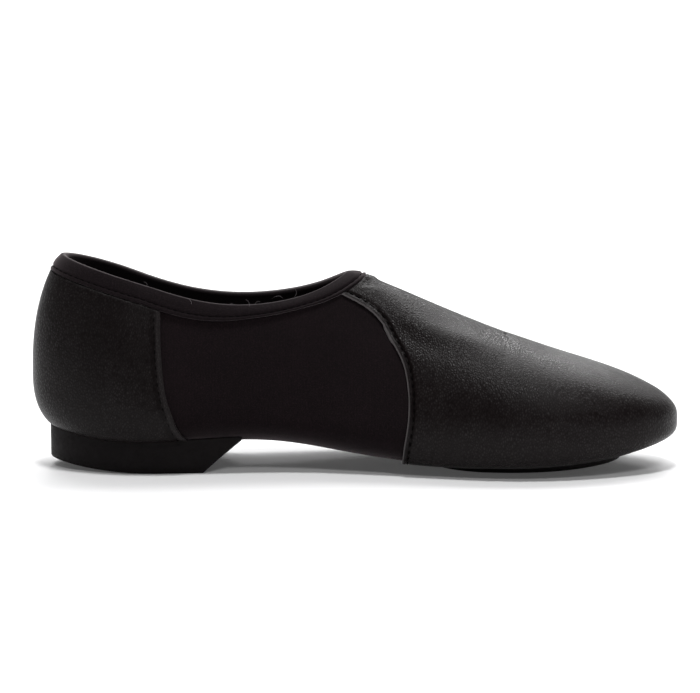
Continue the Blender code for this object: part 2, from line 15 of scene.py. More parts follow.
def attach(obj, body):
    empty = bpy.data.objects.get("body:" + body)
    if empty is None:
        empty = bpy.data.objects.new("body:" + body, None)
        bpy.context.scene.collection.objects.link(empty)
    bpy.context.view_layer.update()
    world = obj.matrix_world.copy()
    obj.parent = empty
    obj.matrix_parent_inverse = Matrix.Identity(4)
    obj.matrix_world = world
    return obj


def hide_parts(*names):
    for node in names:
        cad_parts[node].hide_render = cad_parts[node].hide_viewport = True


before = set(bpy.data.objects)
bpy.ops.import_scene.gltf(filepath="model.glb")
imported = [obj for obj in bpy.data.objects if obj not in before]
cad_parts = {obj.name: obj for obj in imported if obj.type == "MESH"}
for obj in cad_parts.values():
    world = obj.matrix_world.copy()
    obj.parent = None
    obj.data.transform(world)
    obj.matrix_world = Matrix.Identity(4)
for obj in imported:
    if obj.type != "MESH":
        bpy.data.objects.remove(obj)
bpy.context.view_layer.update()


# The studio: a white floor before a bright backdrop, a far light overhead and a low one behind
# that shines under the arch, two softboxes behind for the highlight along the instep, and a
# weak light in front. A long lens looks down ten degrees.
PICTURE_WIDTH = 700
PICTURE_HEIGHT = 693
PIXEL = 0.0003727
REAR_PIXEL = 33
FLOOR_PIXEL = 462.8
REAR_OF_SHOE = -0.120
VIEW_ELEVATION = math.radians(10)
CAMERA_DISTANCE = 5.0
SENSOR = 36.0
FLOOR_SIZE = 12.0
FLOOR_WHITE = (0.86, 0.86, 0.865)
FLOOR_GLOW = 0.06
BACKDROP_WHITE = 1.15
SURROUND_BEHIND = 0.60
SURROUND_IN_FRONT = 0.03
SURROUND_RAMP = (-0.15, 0.45)
# Lights: a far one's spread and elevation in degrees and its strength, and a soft one's place,
# size and power
FAR_LIGHTS = {"overhead": (12, 95, 1.6), "back_light": (10, 22, 0.6)}
SOFT_LIGHTS = {
    "softbox": ((0.15, 1.0, 0.82), (1.4, 0.35), 4.6),
    "high_softbox": ((0.06, 0.66, 1.08), (1.2, 0.4), 12.0),
    "front_light": ((0.45, -0.9, 1.2), (0.3, 0.3), 4.4),
}


def put_in_scene(name, data):
    made = bpy.data.objects.new(name, data)
    bpy.context.scene.collection.objects.link(made)
    return made


def set_up_camera():
    up = Vector((0, math.sin(VIEW_ELEVATION), math.cos(VIEW_ELEVATION)))
    towards_camera = Vector((0, -math.cos(VIEW_ELEVATION), math.sin(VIEW_ELEVATION)))
    across = (PICTURE_WIDTH / 2 - REAR_PIXEL) * PIXEL + REAR_OF_SHOE
    above = (FLOOR_PIXEL - PICTURE_HEIGHT / 2) * PIXEL
    target = Vector((across, 0, 0)) + above * up
    lens = bpy.data.cameras.new("camera")
    lens.sensor_width = SENSOR
    lens.lens = SENSOR * CAMERA_DISTANCE / (PICTURE_WIDTH * PIXEL)
    lens.clip_end = 100
    camera = put_in_scene("camera", lens)
    camera.location = target + towards_camera * CAMERA_DISTANCE
    camera.rotation_euler = towards_camera.to_track_quat("Z", "Y").to_euler()
    bpy.context.scene.camera = camera


def add_soft_light(name, place, size, power):
    light = bpy.data.lights.new(name, "AREA")
    light.shape = "RECTANGLE"
    light.size, light.size_y = size
    light.energy = power
    lamp = put_in_scene(name, light)
    lamp.location = place
    aim = Vector(place) - Vector((0, 0, 0.03))
    lamp.rotation_euler = aim.to_track_quat("Z", "Y").to_euler()


def add_far_light(name, spread, elevation, strength):
    """A far light behind the shoe, at an elevation, whose shadows have soft edges."""
    light = bpy.data.lights.new(name, "SUN")
    light.angle = math.radians(spread)
    light.energy = strength
    lamp = put_in_scene(name, light)
    lamp.rotation_euler = (math.radians(elevation - 90), 0, 0)


def set_up_surround():
    """A white surround, bright behind the shoe and dim in front of it."""
    world = bpy.data.worlds.new("surround")
    world.use_nodes = True
    nodes, links = world.node_tree.nodes, world.node_tree.links
    coordinates = nodes.new("ShaderNodeTexCoord")
    split = nodes.new("ShaderNodeSeparateXYZ")
    ramp = nodes.new("ShaderNodeMapRange")
    ramp.inputs["From Min"].default_value, ramp.inputs["From Max"].default_value = SURROUND_RAMP
    ramp.inputs["To Min"].default_value = SURROUND_IN_FRONT
    ramp.inputs["To Max"].default_value = SURROUND_BEHIND
    light = nodes["Background"]
    white = nodes.new("ShaderNodeBackground")
    white.inputs["Strength"].default_value = BACKDROP_WHITE
    white.inputs["Color"].default_value = (1, 1, 1, 1)
    seen = nodes.new("ShaderNodeLightPath")
    mix = nodes.new("ShaderNodeMixShader")
    links.new(coordinates.outputs["Generated"], split.inputs["Vector"])
    links.new(split.outputs["Y"], ramp.inputs["Value"])
    light.inputs["Color"].default_value = (1, 1, 1, 1)
    links.new(ramp.outputs["Result"], light.inputs["Strength"])
    links.new(seen.outputs["Is Camera Ray"], mix.inputs["Fac"])
    links.new(light.outputs["Background"], mix.inputs[1])
    links.new(white.outputs["Background"], mix.inputs[2])
    links.new(mix.outputs["Shader"], nodes["World Output"].inputs["Surface"])
    bpy.context.scene.world = world


def lay_floor():
    bm = bmesh.new()
    bmesh.ops.create_grid(bm, x_segments=1, y_segments=1, size=FLOOR_SIZE / 2)
    mesh = bpy.data.meshes.new("floor")
    bm.to_mesh(mesh)
    bm.free()
    floor = put_in_scene("floor", mesh)
    paint = bpy.data.materials.new("floor")
    paint.use_nodes = True
    shader = paint.node_tree.nodes["Principled BSDF"]
    shader.inputs["Base Color"].default_value = (*FLOOR_WHITE, 1)
    shader.inputs["Roughness"].default_value = 0.9
    shader.inputs["Specular IOR Level"].default_value = 0.1
    shader.inputs["Emission Color"].default_value = (1, 1, 1, 1)
    shader.inputs["Emission Strength"].default_value = FLOOR_GLOW
    mesh.materials.append(paint)


bpy.context.scene.view_settings.view_transform = "Standard"
set_up_camera()
set_up_surround()
lay_floor()
for name, settings in FAR_LIGHTS.items():
    add_far_light(name, *settings)
for name, settings in SOFT_LIGHTS.items():
    add_soft_light(name, *settings)


# The upper: stretch foam faced with fine black knit outside and cloth inside, cut as one
# hollow wall round the last, and closed below by the heel block and the forefoot pad. The
# last's own shape comes first, since every other piece is laid on it.
SHOE_LENGTH = 0.240
BALL_WIDTH = 0.080
INSTEP_HEIGHT = 0.064
BACK_HEIGHT = 0.069
HEEL_HEIGHT = 0.0097
SOLE_THICKNESS = 0.0029
TOE_SPRING = 0.0075
ARCH_RISE = 0.0025
SWING = 0.0055
COLLAR_DROP = 0.0010
PAD_PRESS = 0.0002
WALL = 0.0014
LEATHER = 0.0009
GAP = 0.0003
LASTING_MARGIN = 0.0065
HEEL_SHARE = 0.865
BREAST_TOP = 0.325
PAD_START = 0.622
PAD_END = 0.916
PAD_HALF_WIDTH = 0.0235
PAD_ROUNDNESS = 2.5
HEEL_ROUNDNESS = 1.95
TOE_ROUNDNESS = 2.1

# A row for each section of the last from heel to toe: shares of half the ball's width, of
# SWING to the outer side, of the heel's lift, of TOE_SPRING and ARCH_RISE, the widest level
# and the top as shares of INSTEP_HEIGHT, and the powers that round it below and above.
LAST_COLUMNS = (
    "share", "half_width", "swing", "lift", "spring", "arch",
    "widest", "top", "under_power", "over_power",
)
LAST_ROWS = (
    (0.000, 0.644, 0.00, 1.00, 0.00, 0.0, 0.420, 1.410, 3.1, 2.20),
    (0.060, 0.665, 0.00, 1.00, 0.00, 0.0, 0.310, 1.375, 3.7, 1.90),
    (0.175, 0.691, 0.00, 1.00, 0.00, 0.0, 0.220, 1.280, 4.0, 1.33),
    (0.280, 0.678, 0.35, 0.90, 0.00, 0.5, 0.205, 1.183, 3.3, 1.48),
    (0.380, 0.693, 0.85, 0.62, 0.00, 1.0, 0.205, 1.088, 2.8, 1.50),
    (0.460, 0.742, 1.00, 0.30, 0.00, 0.7, 0.210, 1.053, 2.9, 1.42),
    (0.520, 0.807, 0.95, 0.12, 0.00, 0.3, 0.210, 1.022, 3.2, 1.48),
    (0.600, 0.902, 0.73, 0.00, 0.00, 0.0, 0.205, 0.908, 3.8, 1.70),
    (0.720, 1.000, 0.20, 0.00, 0.00, 0.0, 0.190, 0.716, 4.0, 2.10),
    (0.820, 0.969, -0.18, 0.00, 0.10, 0.0, 0.175, 0.577, 4.0, 2.50),
    (0.920, 0.902, -0.45, 0.00, 0.46, 0.0, 0.153, 0.448, 4.2, 3.00),
    (1.000, 0.825, -0.73, 0.00, 0.96, 0.0, 0.117, 0.303, 4.5, 3.30),
)
# The collar's edge: its height as a share of BACK_HEIGHT, by share of the length
TOPLINE_ROWS = (
    (0.000, 1.035), (0.034, 1.000), (0.146, 0.881), (0.230, 0.793), (0.317, 0.762),
    (0.400, 0.810), (0.454, 0.888), (0.492, 0.970), (0.540, 1.080),
)
DIP_START = 0.03
DIP_LENGTH = 0.46

# Measures of the meshes themselves
SIDES = (1.0, -1.0)
ON_TOP = 0.999
MERGE = 5e-6
TINY = 1e-9
SLOPE_STEP = 2e-5
MARK_PITCH = 0.0004

SKIN = GAP + LEATHER
LAST_LENGTH = SHOE_LENGTH - 2 * SKIN
REAR, TIP = -LAST_LENGTH / 2, LAST_LENGTH / 2
FOREFOOT_UNDERSIDE = GAP + SOLE_THICKNESS - PAD_PRESS
MIDDLE = Vector((0.0, 0.0, INSTEP_HEIGHT / 2))


def spline(rows):
    """A smooth curve through the rows: a function from the first column to the others."""
    table = np.array(rows, float)
    knots, values = table[:, 0], table[:, 1:]
    gaps = np.diff(knots)
    system = np.eye(len(knots))
    bends = np.zeros_like(values)
    for i in range(1, len(knots) - 1):
        system[i, i - 1 : i + 2] = gaps[i - 1], 2 * (gaps[i - 1] + gaps[i]), gaps[i]
        slopes = np.diff(values[i - 1 : i + 2], axis=0) / gaps[i - 1 : i + 1, None]
        bends[i] = 6 * (slopes[1] - slopes[0])
    bends = np.linalg.solve(system, bends)

    def at(places):
        places = np.clip(np.asarray(places, float), knots[0], knots[-1])
        i = np.clip(np.searchsorted(knots, places) - 1, 0, len(gaps) - 1)
        h = gaps[i][..., None]
        b = (places - knots[i])[..., None] / h
        a = 1 - b
        curve = (a**3 - a) * bends[i] + (b**3 - b) * bends[i + 1]
        return a * values[i] + b * values[i + 1] + curve * h**2 / 6

    return at


last_shape = spline(LAST_ROWS)
topline_shape = spline(TOPLINE_ROWS)


def share_of(x):
    return (np.asarray(x, float) - REAR) / LAST_LENGTH


def x_of(share):
    return REAR + share * LAST_LENGTH


def column(x, name):
    return last_shape(share_of(x))[..., LAST_COLUMNS.index(name) - 1]


def half_girth(x):
    return column(x, "half_width") * (BALL_WIDTH / 2 - SKIN)


def widest_between(first, end):
    places = np.linspace(x_of(first), x_of(end), 2001)
    return float(places[np.argmax(half_girth(places))])


HEEL_HUB = widest_between(0.08, 0.30)
TOE_HUB = widest_between(0.60, 0.85)


def half_width(x):
    """Half the width of the last's outline, which closes round at both ends."""
    back = np.clip((HEEL_HUB - x) / (HEEL_HUB - REAR), 0, 1)
    front = np.clip((x - TOE_HUB) / (TIP - TOE_HUB), 0, 1)
    close = (1 - back**HEEL_ROUNDNESS) ** (1 / HEEL_ROUNDNESS)
    close = close * (1 - front**TOE_ROUNDNESS) ** (1 / TOE_ROUNDNESS)
    return half_girth(x) * close


def centre_line(x):
    return column(x, "swing") * SWING


def underside(x, across=0.0):
    seat = column(x, "lift") * (HEEL_HEIGHT + GAP - FOREFOOT_UNDERSIDE)
    arch = column(x, "arch") * ARCH_RISE * (1 - across) / 2
    return FOREFOOT_UNDERSIDE + seat + column(x, "spring") * TOE_SPRING + arch


def widest_level(x):
    return underside(x, 1.0) + column(x, "widest") * INSTEP_HEIGHT


def top_level(x):
    return underside(x, 1.0) + column(x, "top") * INSTEP_HEIGHT


def topline_level(x, y):
    share = share_of(x)
    dip = np.sin(np.pi * np.clip((share - DIP_START) / DIP_LENGTH, 0, 1)) ** 2
    outer = np.clip(y / half_girth(x), 0, 1)
    level = underside(x, 1.0) + topline_shape(share)[..., 0] * BACK_HEIGHT
    return level - dip * outer * COLLAR_DROP


def station(place):
    """A section of the last. place runs 0 to 1 round the heel, to 2 along the side and to 3
    round the toe. It gives the section's hub, its direction and how far out the outline is."""
    place = np.asarray(place, float)
    heel_turn = np.clip(place, 0, 1) * math.pi / 2
    toe_turn = np.clip(place - 2, 0, 1) * math.pi / 2
    hub = HEEL_HUB + (TOE_HUB - HEEL_HUB) * np.clip(place - 1, 0, 1)
    edge = hub - (HEEL_HUB - REAR) * np.cos(heel_turn) * (place < 1)
    edge = edge + (TIP - TOE_HUB) * np.sin(toe_turn) * (place > 2)
    wide = half_width(edge)
    reach = np.hypot(wide, edge - hub)
    return hub, (edge - hub) / reach, wide / reach, reach


def place_of(x):
    return 1 + (np.asarray(x, float) - HEEL_HUB) / (TOE_HUB - HEEL_HUB)


def on_last(place, side, turn):
    """A point of a section: turn is 0 at the widest level and a right angle on the ridge."""
    hub, along, out, reach = station(place)
    edge = hub + along * reach
    power = np.where(turn > 0, column(edge, "over_power"), column(edge, "under_power"))
    spread = np.clip(np.cos(turn), 0, 1) ** (2 / power)
    rise = np.clip(np.sin(np.abs(turn)), 0, 1) ** (2 / power)
    x = hub + along * reach * spread
    y = side * out * reach * spread
    middle = widest_level(x)
    low = middle - (middle - underside(x, y / half_girth(x))) * rise
    high = middle + (top_level(x) - middle) * rise
    return np.stack([x, y + centre_line(x), np.where(turn > 0, high, low)], axis=-1)


def outline_reach(hub, along, out):
    near, far = np.zeros_like(out), np.full_like(out, LAST_LENGTH)
    for _ in range(28):
        middle = (near + far) / 2
        inside = middle * out < half_width(hub + along * middle)
        inside &= (hub + along * middle > REAR) & (hub + along * middle < TIP)
        near, far = np.where(inside, middle, near), np.where(inside, far, middle)
    return (near + far) / 2


def plan_of(x, y):
    """Spread and the outline's own x for a point in plan, with y from the centre line."""
    hub = np.clip(x, HEEL_HUB, TOE_HUB)
    distance = np.hypot(x - hub, y)
    safe = np.maximum(distance, TINY)
    along = np.where(distance > TINY, (x - hub) / safe, 0.0)
    out = np.where(distance > TINY, np.abs(y) / safe, 1.0)
    reach = outline_reach(hub, along, out)
    return distance / reach, hub + along * reach


def underside_at(x, y):
    """The height of the last's underside over a point of the floor, y from the centre line."""
    spread, edge = plan_of(x, y)
    power = column(edge, "under_power")
    middle = widest_level(x)
    below = (1 - np.clip(spread, 0, 1) ** power) ** (1 / power)
    return middle - (middle - underside(x, y / half_girth(x))) * below


def excess(points):
    """Below 0 inside the last, 0 on its surface, above 0 outside."""
    x, z = points[..., 0], points[..., 2]
    y = points[..., 1] - centre_line(x)
    spread, edge = plan_of(x, y)
    middle = widest_level(x)
    low = (middle - z) / (middle - underside(x, y / half_girth(x)))
    high = (z - middle) / (top_level(x) - middle)
    over = z > middle
    power = np.where(over, column(edge, "over_power"), column(edge, "under_power"))
    return spread**power + np.abs(np.where(over, high, low)) ** power - 1


def steepest(points):
    steps = np.eye(3) * SLOPE_STEP
    slopes = [(excess(points + step) - excess(points - step)) / (2 * SLOPE_STEP) for step in steps]
    return np.stack(slopes, axis=-1)


def snap(points, offset=0.0):
    """Points moved onto the last and out from it by an offset, with their outward normals."""
    for _ in range(3):
        slope = steepest(points)
        points = points - excess(points)[..., None] * slope / (slope**2).sum(-1, keepdims=True)
    slope = steepest(points)
    normals = slope / np.linalg.norm(slope, axis=-1, keepdims=True)
    return points + offset * normals, normals


def halved(low, high, below):
    """The value between low and high where below stops being true."""
    for _ in range(26):
        middle = (low + high) / 2
        inside = below(middle)
        low, high = np.where(inside, middle, low), np.where(inside, high, middle)
    return (low + high) / 2


def rim_turn(place, side):
    """The turn of the collar's edge on a section, or a right angle where the upper is closed."""

    def under_the_topline(turn):
        point = on_last(place, side, turn)
        return point[..., 2] < topline_level(point[..., 0], point[..., 1])

    shape = np.zeros(np.shape(place))
    return halved(shape, shape + math.pi / 2, under_the_topline)


def throat():
    places = np.linspace(x_of(0.42), x_of(0.53), 4001)
    return float(places[np.argmax(topline_level(places, 0 * places) > top_level(places))])


THROAT = throat()
THROAT_PLACE = float(place_of(THROAT))
PLACES = np.linspace(0, 3, 601)


PAD_MIDDLE = (x_of(PAD_START) + x_of(PAD_END)) / 2
PAD_HALF_LENGTH = (x_of(PAD_END) - x_of(PAD_START)) / 2


def top_turns(side):
    """The turn at the upper's top edge on each section, a right angle where it is closed."""
    return np.where(PLACES < THROAT_PLACE, rim_turn(PLACES, side), math.pi / 2)


def inside_pad(x, y, margin):
    ahead = (np.abs(x - PAD_MIDDLE) / (PAD_HALF_LENGTH - margin)) ** PAD_ROUNDNESS
    return ahead + (np.abs(y) / (PAD_HALF_WIDTH - margin)) ** PAD_ROUNDNESS < 1


def inside_seat(x, y):
    front = x_of(BREAST_TOP) - LASTING_MARGIN
    ahead = np.clip((x - HEEL_HUB) / (front - HEEL_HUB), 0, None) ** PAD_ROUNDNESS
    spread = plan_of(x, y)[0] / (HEEL_SHARE - LASTING_MARGIN / half_girth(HEEL_HUB))
    return ahead + spread**2 < 1


def turns_clear_of(covered):
    """The turn below the widest level at which each section meets what covers it, by side."""

    def under_cover(side):
        def covered_at(turn):
            point = on_last(PLACES, side, turn)
            return covered(point[..., 0], point[..., 1] - centre_line(point[..., 0]))

        return halved(0 * PLACES - math.pi / 2, 0 * PLACES, covered_at)

    return {side: under_cover(side) for side in SIDES}


def even_rows(low, high, rows):
    """For each of PLACES and each side, the turns that space a panel's rows evenly up the
    section, between two tables of turns. It returns a function from place, side and row."""
    slant = np.linspace(-math.pi / 2, math.pi / 2, 721)
    hub, along, _, reach = station(PLACES)
    edge = (hub + along * reach)[:, None]
    power = np.where(slant < 0, column(edge, "under_power"), column(edge, "over_power")) / 2
    turns = np.arctan2(np.abs(np.sin(slant)) ** power, np.clip(np.cos(slant), 0, 1) ** power)
    turns = turns * np.sign(slant)
    tables = {}
    for side in SIDES:
        points = on_last(PLACES[:, None], side, turns)
        steps = np.linalg.norm(np.diff(points, axis=1), axis=-1)
        ways = np.concatenate([np.zeros((len(PLACES), 1)), np.cumsum(steps, axis=1)], axis=1)
        table = np.empty((len(PLACES), rows + 1))
        for i, (first, last) in enumerate(zip(low[side], high[side])):
            ends = np.interp([first, last], turns[i], ways[i])
            table[i] = np.interp(np.linspace(*ends, rows + 1), ways[i], turns[i])
        tables[side] = table

    def turn_at(place, side, up):
        at = np.clip(place, 0, 3) / 3 * (len(PLACES) - 1)
        i = np.minimum(at.astype(int), len(PLACES) - 2)
        row = np.rint(up * rows).astype(int)
        part = at - i
        found = np.zeros_like(place)
        for way, table in tables.items():
            turned = table[i, row] * (1 - part) + table[i + 1, row] * part
            found = np.where(side == way, turned, found)
        return found

    return turn_at


def stations_round(heel, side, toe):
    """Stations from the back of the heel to the tip of the toe, with a count for each part."""
    parts = [np.linspace(i, i + 1, n + 1) for i, n in enumerate((heel, side, toe))]
    return np.concatenate([parts[0], parts[1][1:], parts[2][1:]])


def round_trip(along, stations):
    """Splits a way right round the shoe into a station and a side: outer side from the heel to
    the toe, then the inner side back."""
    count = len(stations) - 1
    step = along * 2 * count
    outer = step <= count
    at = np.where(outer, step, 2 * count - step)
    return np.interp(at, np.arange(count + 1), stations), np.where(outer, 1.0, -1.0)


def grid_mesh(columns, rows):
    """A flat grid, with each corner's column and row."""
    bm = bmesh.new()
    bmesh.ops.create_grid(bm, x_segments=columns, y_segments=rows, size=0.5)
    flat = np.array([vert.co[:2] for vert in bm.verts]) + 0.5
    return bm, np.rint(flat * [columns, rows]).astype(int)


def lay_sheet(columns, rows, shape):
    """A grid laid on the last. shape gives each corner's point on the last, how far it stands
    out from there, and a value that the material reads: above 0 it lightens the colour along
    an edge, below 0 it darkens it as painted shade in a stitch groove."""
    bm, grid = grid_mesh(columns, rows)
    points, proud, edge = shape(grid[:, 0] / columns, grid[:, 1] / rows)
    proud_layer = bm.verts.layers.float.new("proud")
    edge_tone_layer = bm.verts.layers.float.new("edge")
    for vert, point, out, share in zip(bm.verts, points, proud, edge):
        vert.co = point
        vert[proud_layer] = out
        vert[edge_tone_layer] = share
    bmesh.ops.remove_doubles(bm, verts=bm.verts, dist=MERGE)
    bm.normal_update()
    looks = sum(
        face.normal.dot(face.calc_center_median() - MIDDLE) * face.calc_area()
        for face in bm.faces
    )
    if looks < 0:
        bmesh.ops.reverse_faces(bm, faces=bm.faces)
        bm.normal_update()
    moves = [vert.normal * vert[proud_layer] for vert in bm.verts]
    for vert, move in zip(bm.verts, moves):
        vert.co += move
    return bm


def close_up(bm):
    """Merges the corners that meet, and turns the faces of the closed shell outwards."""
    bmesh.ops.remove_doubles(bm, verts=bm.verts, dist=MERGE)
    bmesh.ops.recalc_face_normals(bm, faces=bm.faces)


def finish_piece(name, bm, materials, slot, *nodes):
    """The finished piece: an object at the origin that rides on the shoe's one body."""
    mesh = bpy.data.meshes.new(name)
    bm.to_mesh(mesh)
    bm.free()
    mesh.shade_smooth()
    piece = put_in_scene(name, mesh)
    for material in materials:
        mesh.materials.append(material)
    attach(piece, "root")
    if nodes:
        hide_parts(*nodes)
    return piece


def give_wall(piece, thickness, inner_material=0):
    wall = piece.modifiers.new("wall", "SOLIDIFY")
    wall.thickness = thickness
    wall.offset = -1.0
    wall.use_rim = True
    wall.material_offset = inner_material
    wall.material_offset_rim = inner_material


class Finish:
    """A material under way: its shader, the place it reads, and short ways to add nodes."""

    def __init__(self, name, colour, roughness, specular):
        self.material = bpy.data.materials.new(name)
        self.material.use_nodes = True
        tree = self.material.node_tree
        self.nodes, self.link = tree.nodes, tree.links.new
        self.shader = self.nodes["Principled BSDF"]
        self.shader.inputs["Base Color"].default_value = (*colour, 1)
        self.shader.inputs["Roughness"].default_value = roughness
        self.shader.inputs["Specular IOR Level"].default_value = specular
        self.place = self.nodes.new("ShaderNodeTexCoord").outputs["Object"]

    def texture(self, kind, place, **values):
        made = self.nodes.new("ShaderNodeTex" + kind)
        self.link(place, made.inputs["Vector"])
        for name, value in values.items():
            made.inputs[name].default_value = value
        return made

    def noise(self, scale, detail, place=None, **values):
        place = place or self.place
        return self.texture("Noise", place, Scale=scale, Detail=detail, **values).outputs["Fac"]

    def edge(self):
        """A value that the mesh gives corner by corner. Above 0 it lightens the colour: lighter
        leather along edges, and a painted highlight along the binding's fold. Below 0 it darkens
        the colour as painted shade in stitch grooves.
        """
        made = self.nodes.new("ShaderNodeAttribute")
        made.attribute_name = "edge"
        return made.outputs["Fac"]

    def math(self, operation, first, second):
        made = self.nodes.new("ShaderNodeMath")
        made.operation = operation
        for socket, value in zip(made.inputs, (first, second)):
            if isinstance(value, float):
                socket.default_value = value
            else:
                self.link(value, socket)
        return made.outputs["Value"]

    def times(self, first, second):
        return self.math("MULTIPLY", first, second)

    def plus(self, first, *others):
        for other in others:
            first = self.math("ADD", first, other)
        return first

    def ranged(self, value, low, high, first, last):
        made = self.nodes.new("ShaderNodeMapRange")
        self.link(value, made.inputs["Value"])
        sockets = ("From Min", "From Max", "To Min", "To Max")
        for socket, setting in zip(sockets, (low, high, first, last)):
            made.inputs[socket].default_value = setting
        return made.outputs["Result"]

    def tinted(self, value, dark, light):
        """A colour from dark at 0 to light at 1, and on past light above 1."""
        made = self.nodes.new("ShaderNodeMix")
        made.data_type = "RGBA"
        made.clamp_factor = False
        self.link(self.math("MAXIMUM", value, 0.0), made.inputs["Factor"])
        made.inputs["A"].default_value = (*dark, 1)
        made.inputs["B"].default_value = (*light, 1)
        return made.outputs["Result"]

    def drive(self, socket, value):
        self.link(value, self.shader.inputs[socket])

    def bump(self, height, strength, distance):
        made = self.nodes.new("ShaderNodeBump")
        made.inputs["Strength"].default_value = strength
        made.inputs["Distance"].default_value = distance
        self.link(height, made.inputs["Height"])
        self.drive("Normal", made.outputs["Normal"])


def knit_finish(name, dark, light, ribs, sheen):
    """Fine stretch knit: rows of ribs that run up the shoe, crossed by shorter courses, with
    a soft nap and here and there a speck of dust. Where the mesh marks the binding's fold, the
    colour is painted lighter along it as a painted highlight."""
    finish = Finish(name, dark, 0.9, 0.10)
    finish.shader.inputs["Sheen Weight"].default_value = sheen
    finish.shader.inputs["Sheen Roughness"].default_value = 0.45
    finish.shader.inputs["Sheen Tint"].default_value = (1.0, 0.86, 0.90, 1)
    rib = finish.texture("Wave", finish.place, Scale=ribs, Distortion=0.6, Detail=1.0)
    rib.bands_direction = "X"
    course = finish.texture("Wave", finish.place, Scale=ribs * 1.3, Distortion=1.2)
    course.bands_direction = "Z"
    nap = finish.noise(2600.0, 2.0)
    cloud = finish.noise(70.0, 3.0)
    specks = finish.texture("Voronoi", finish.place, Scale=160.0, Randomness=1.0)
    speck = finish.ranged(specks.outputs["Distance"], 0.030, 0.018, 0.0, 1.0)
    chosen = finish.nodes.new("ShaderNodeSeparateColor")
    finish.link(specks.outputs["Color"], chosen.inputs["Color"])
    few = finish.ranged(chosen.outputs["Red"], 0.93, 0.95, 0.0, 1.0)
    # Specks of dust, and along the binding's fold a painted highlight, both mixed towards a light
    # grey
    dust_and_fold_highlight = finish.plus(finish.times(speck, few), finish.times(finish.edge(), nap))
    weave = finish.times(rib.outputs["Fac"], 0.6)
    weave = finish.plus(weave, finish.times(course.outputs["Fac"], 0.25))
    fuzz = finish.ranged(nap, 0.45, 0.75, -0.15, 0.75)
    shade = finish.plus(finish.times(weave, cloud), fuzz)
    dust_and_highlight_mix = finish.nodes.new("ShaderNodeMix")
    dust_and_highlight_mix.data_type = "RGBA"
    finish.link(dust_and_fold_highlight, dust_and_highlight_mix.inputs["Factor"])
    finish.link(finish.tinted(shade, dark, light), dust_and_highlight_mix.inputs["A"])
    dust_and_highlight_mix.inputs["B"].default_value = (0.16, 0.15, 0.15, 1)
    finish.drive("Base Color", dust_and_highlight_mix.outputs["Result"])
    finish.bump(finish.plus(weave, nap), 0.5, 0.00008)
    return finish.material


def lining_finish():
    """Brushed lining cloth, seen only down the mouth."""
    finish = Finish("lining_cloth", (0.045, 0.034, 0.038), 0.95, 0.1)
    finish.bump(finish.noise(1500.0, 3.0), 0.4, 0.0001)
    return finish.material


def bell(distance, width):
    """1 at no distance, dying away over the width."""
    return np.exp(-((distance / width) ** 2))


UPPER_STATIONS = stations_round(36, 120, 36)
UPPER_ROWS = 46
HOLLOW_DEPTH = 0.0005
HOLLOW_PLACE = 1.42
HOLLOW_REACH = 0.16
KNIT_DARK = (0.0022, 0.0009, 0.0013)
KNIT_LIGHT = (0.0112, 0.0054, 0.0072)


def make_upper():
    low = turns_clear_of(lambda x, y: inside_pad(x, y, LASTING_MARGIN) | inside_seat(x, y))
    turn_at = even_rows(low, {side: top_turns(side) for side in SIDES}, UPPER_ROWS)

    def shape(along, up):
        place, side = round_trip(along, UPPER_STATIONS)
        turn = turn_at(place, side, up)
        turn = np.where((place >= THROAT_PLACE) & (up > ON_TOP), math.pi / 2, turn)
        bow = bell(place - HOLLOW_PLACE, HOLLOW_REACH) * np.sin(np.pi * np.clip(up, 0, 1)) ** 2
        return on_last(place, side, turn), -HOLLOW_DEPTH * bow, 0 * up

    bm = lay_sheet(2 * (len(UPPER_STATIONS) - 1), UPPER_ROWS, shape)
    knit = knit_finish("stretch_knit", KNIT_DARK, KNIT_LIGHT, 560.0, 0.22)
    shell = finish_piece("upper_shell", bm, [knit, lining_finish()], "stretch_fabric", "upper")
    give_wall(shell, WALL, 1)


make_upper()


# The vamp: one piece of thin garment leather over the toe and instep. Its back edge is
# folded under into a narrow hem and sewn down on the upper, and below it is pulled under
# the pad in small gathers at the toe.
# How deep the binding is along the shoe, as share of the length and depth
BAND_DEPTH_ROWS = (
    (0.00, 0.0067), (0.12, 0.0064), (0.20, 0.0069), (0.26, 0.0066), (0.30, 0.0057),
    (0.34, 0.0047), (0.38, 0.0043), (0.42, 0.0044), (0.45, 0.0052), (0.50, 0.0066),
)
band_shape = spline(BAND_DEPTH_ROWS)
VAMP_TOP_START = 0.466
# A seam's place as a share of the length, by height as a share of INSTEP_HEIGHT
VAMP_SEAM_ROWS = (
    (-0.02, 0.572), (0.144, 0.578), (0.300, 0.584), (0.390, 0.5845), (0.500, 0.5815),
    (0.610, 0.573), (0.720, 0.555), (0.825, 0.534), (0.900, 0.498), (0.945, 0.462),
    (1.020, 0.400),
)
vamp_seam = spline(VAMP_SEAM_ROWS)
VAMP_SEAM_SPAN = (1.3, 2.0)

HEM_WIDTH = 0.0014
HEM_RISE = 0.00016
HEM_ROUND = 0.0007
HEM_EASE = 0.0006
HEM_CUT = 0.55
# How far from the hem's edge the leather is coloured lighter
LIGHT_EDGE_REACH = 0.00042
VAMP_STITCH_IN = 0.0021
STITCH_PITCH = 0.0030
STITCH_GROOVE = 0.0004
STITCH_GROOVE_HALF = 0.0005
STITCH_HEIGHT = GAP + LEATHER - 0.00012
VAMP_STITCH = (0.0021, 0.00024)
PUCKER_RISE = 0.00004
PUCKER_REACH = 0.0022
PUCKER_START = 0.0024
GATHER_RISE = 0.00035
GATHER_WAVES = 13
GATHER_START = 2.15
GATHER_SPAN = 0.5
VAMP_ROWS = 84
VAMP_SIDE_COLUMNS = 64
VAMP_TOE_COLUMNS = 52
HEM_COLUMNS = 16
HEM_SPAN = 0.040
RIDGE_HALF = 0.007
RIDGE_RUBS = 30
VAMP_DARK = (0.0055, 0.0036, 0.0037)
VAMP_LIGHT = (0.0520, 0.0470, 0.0475)

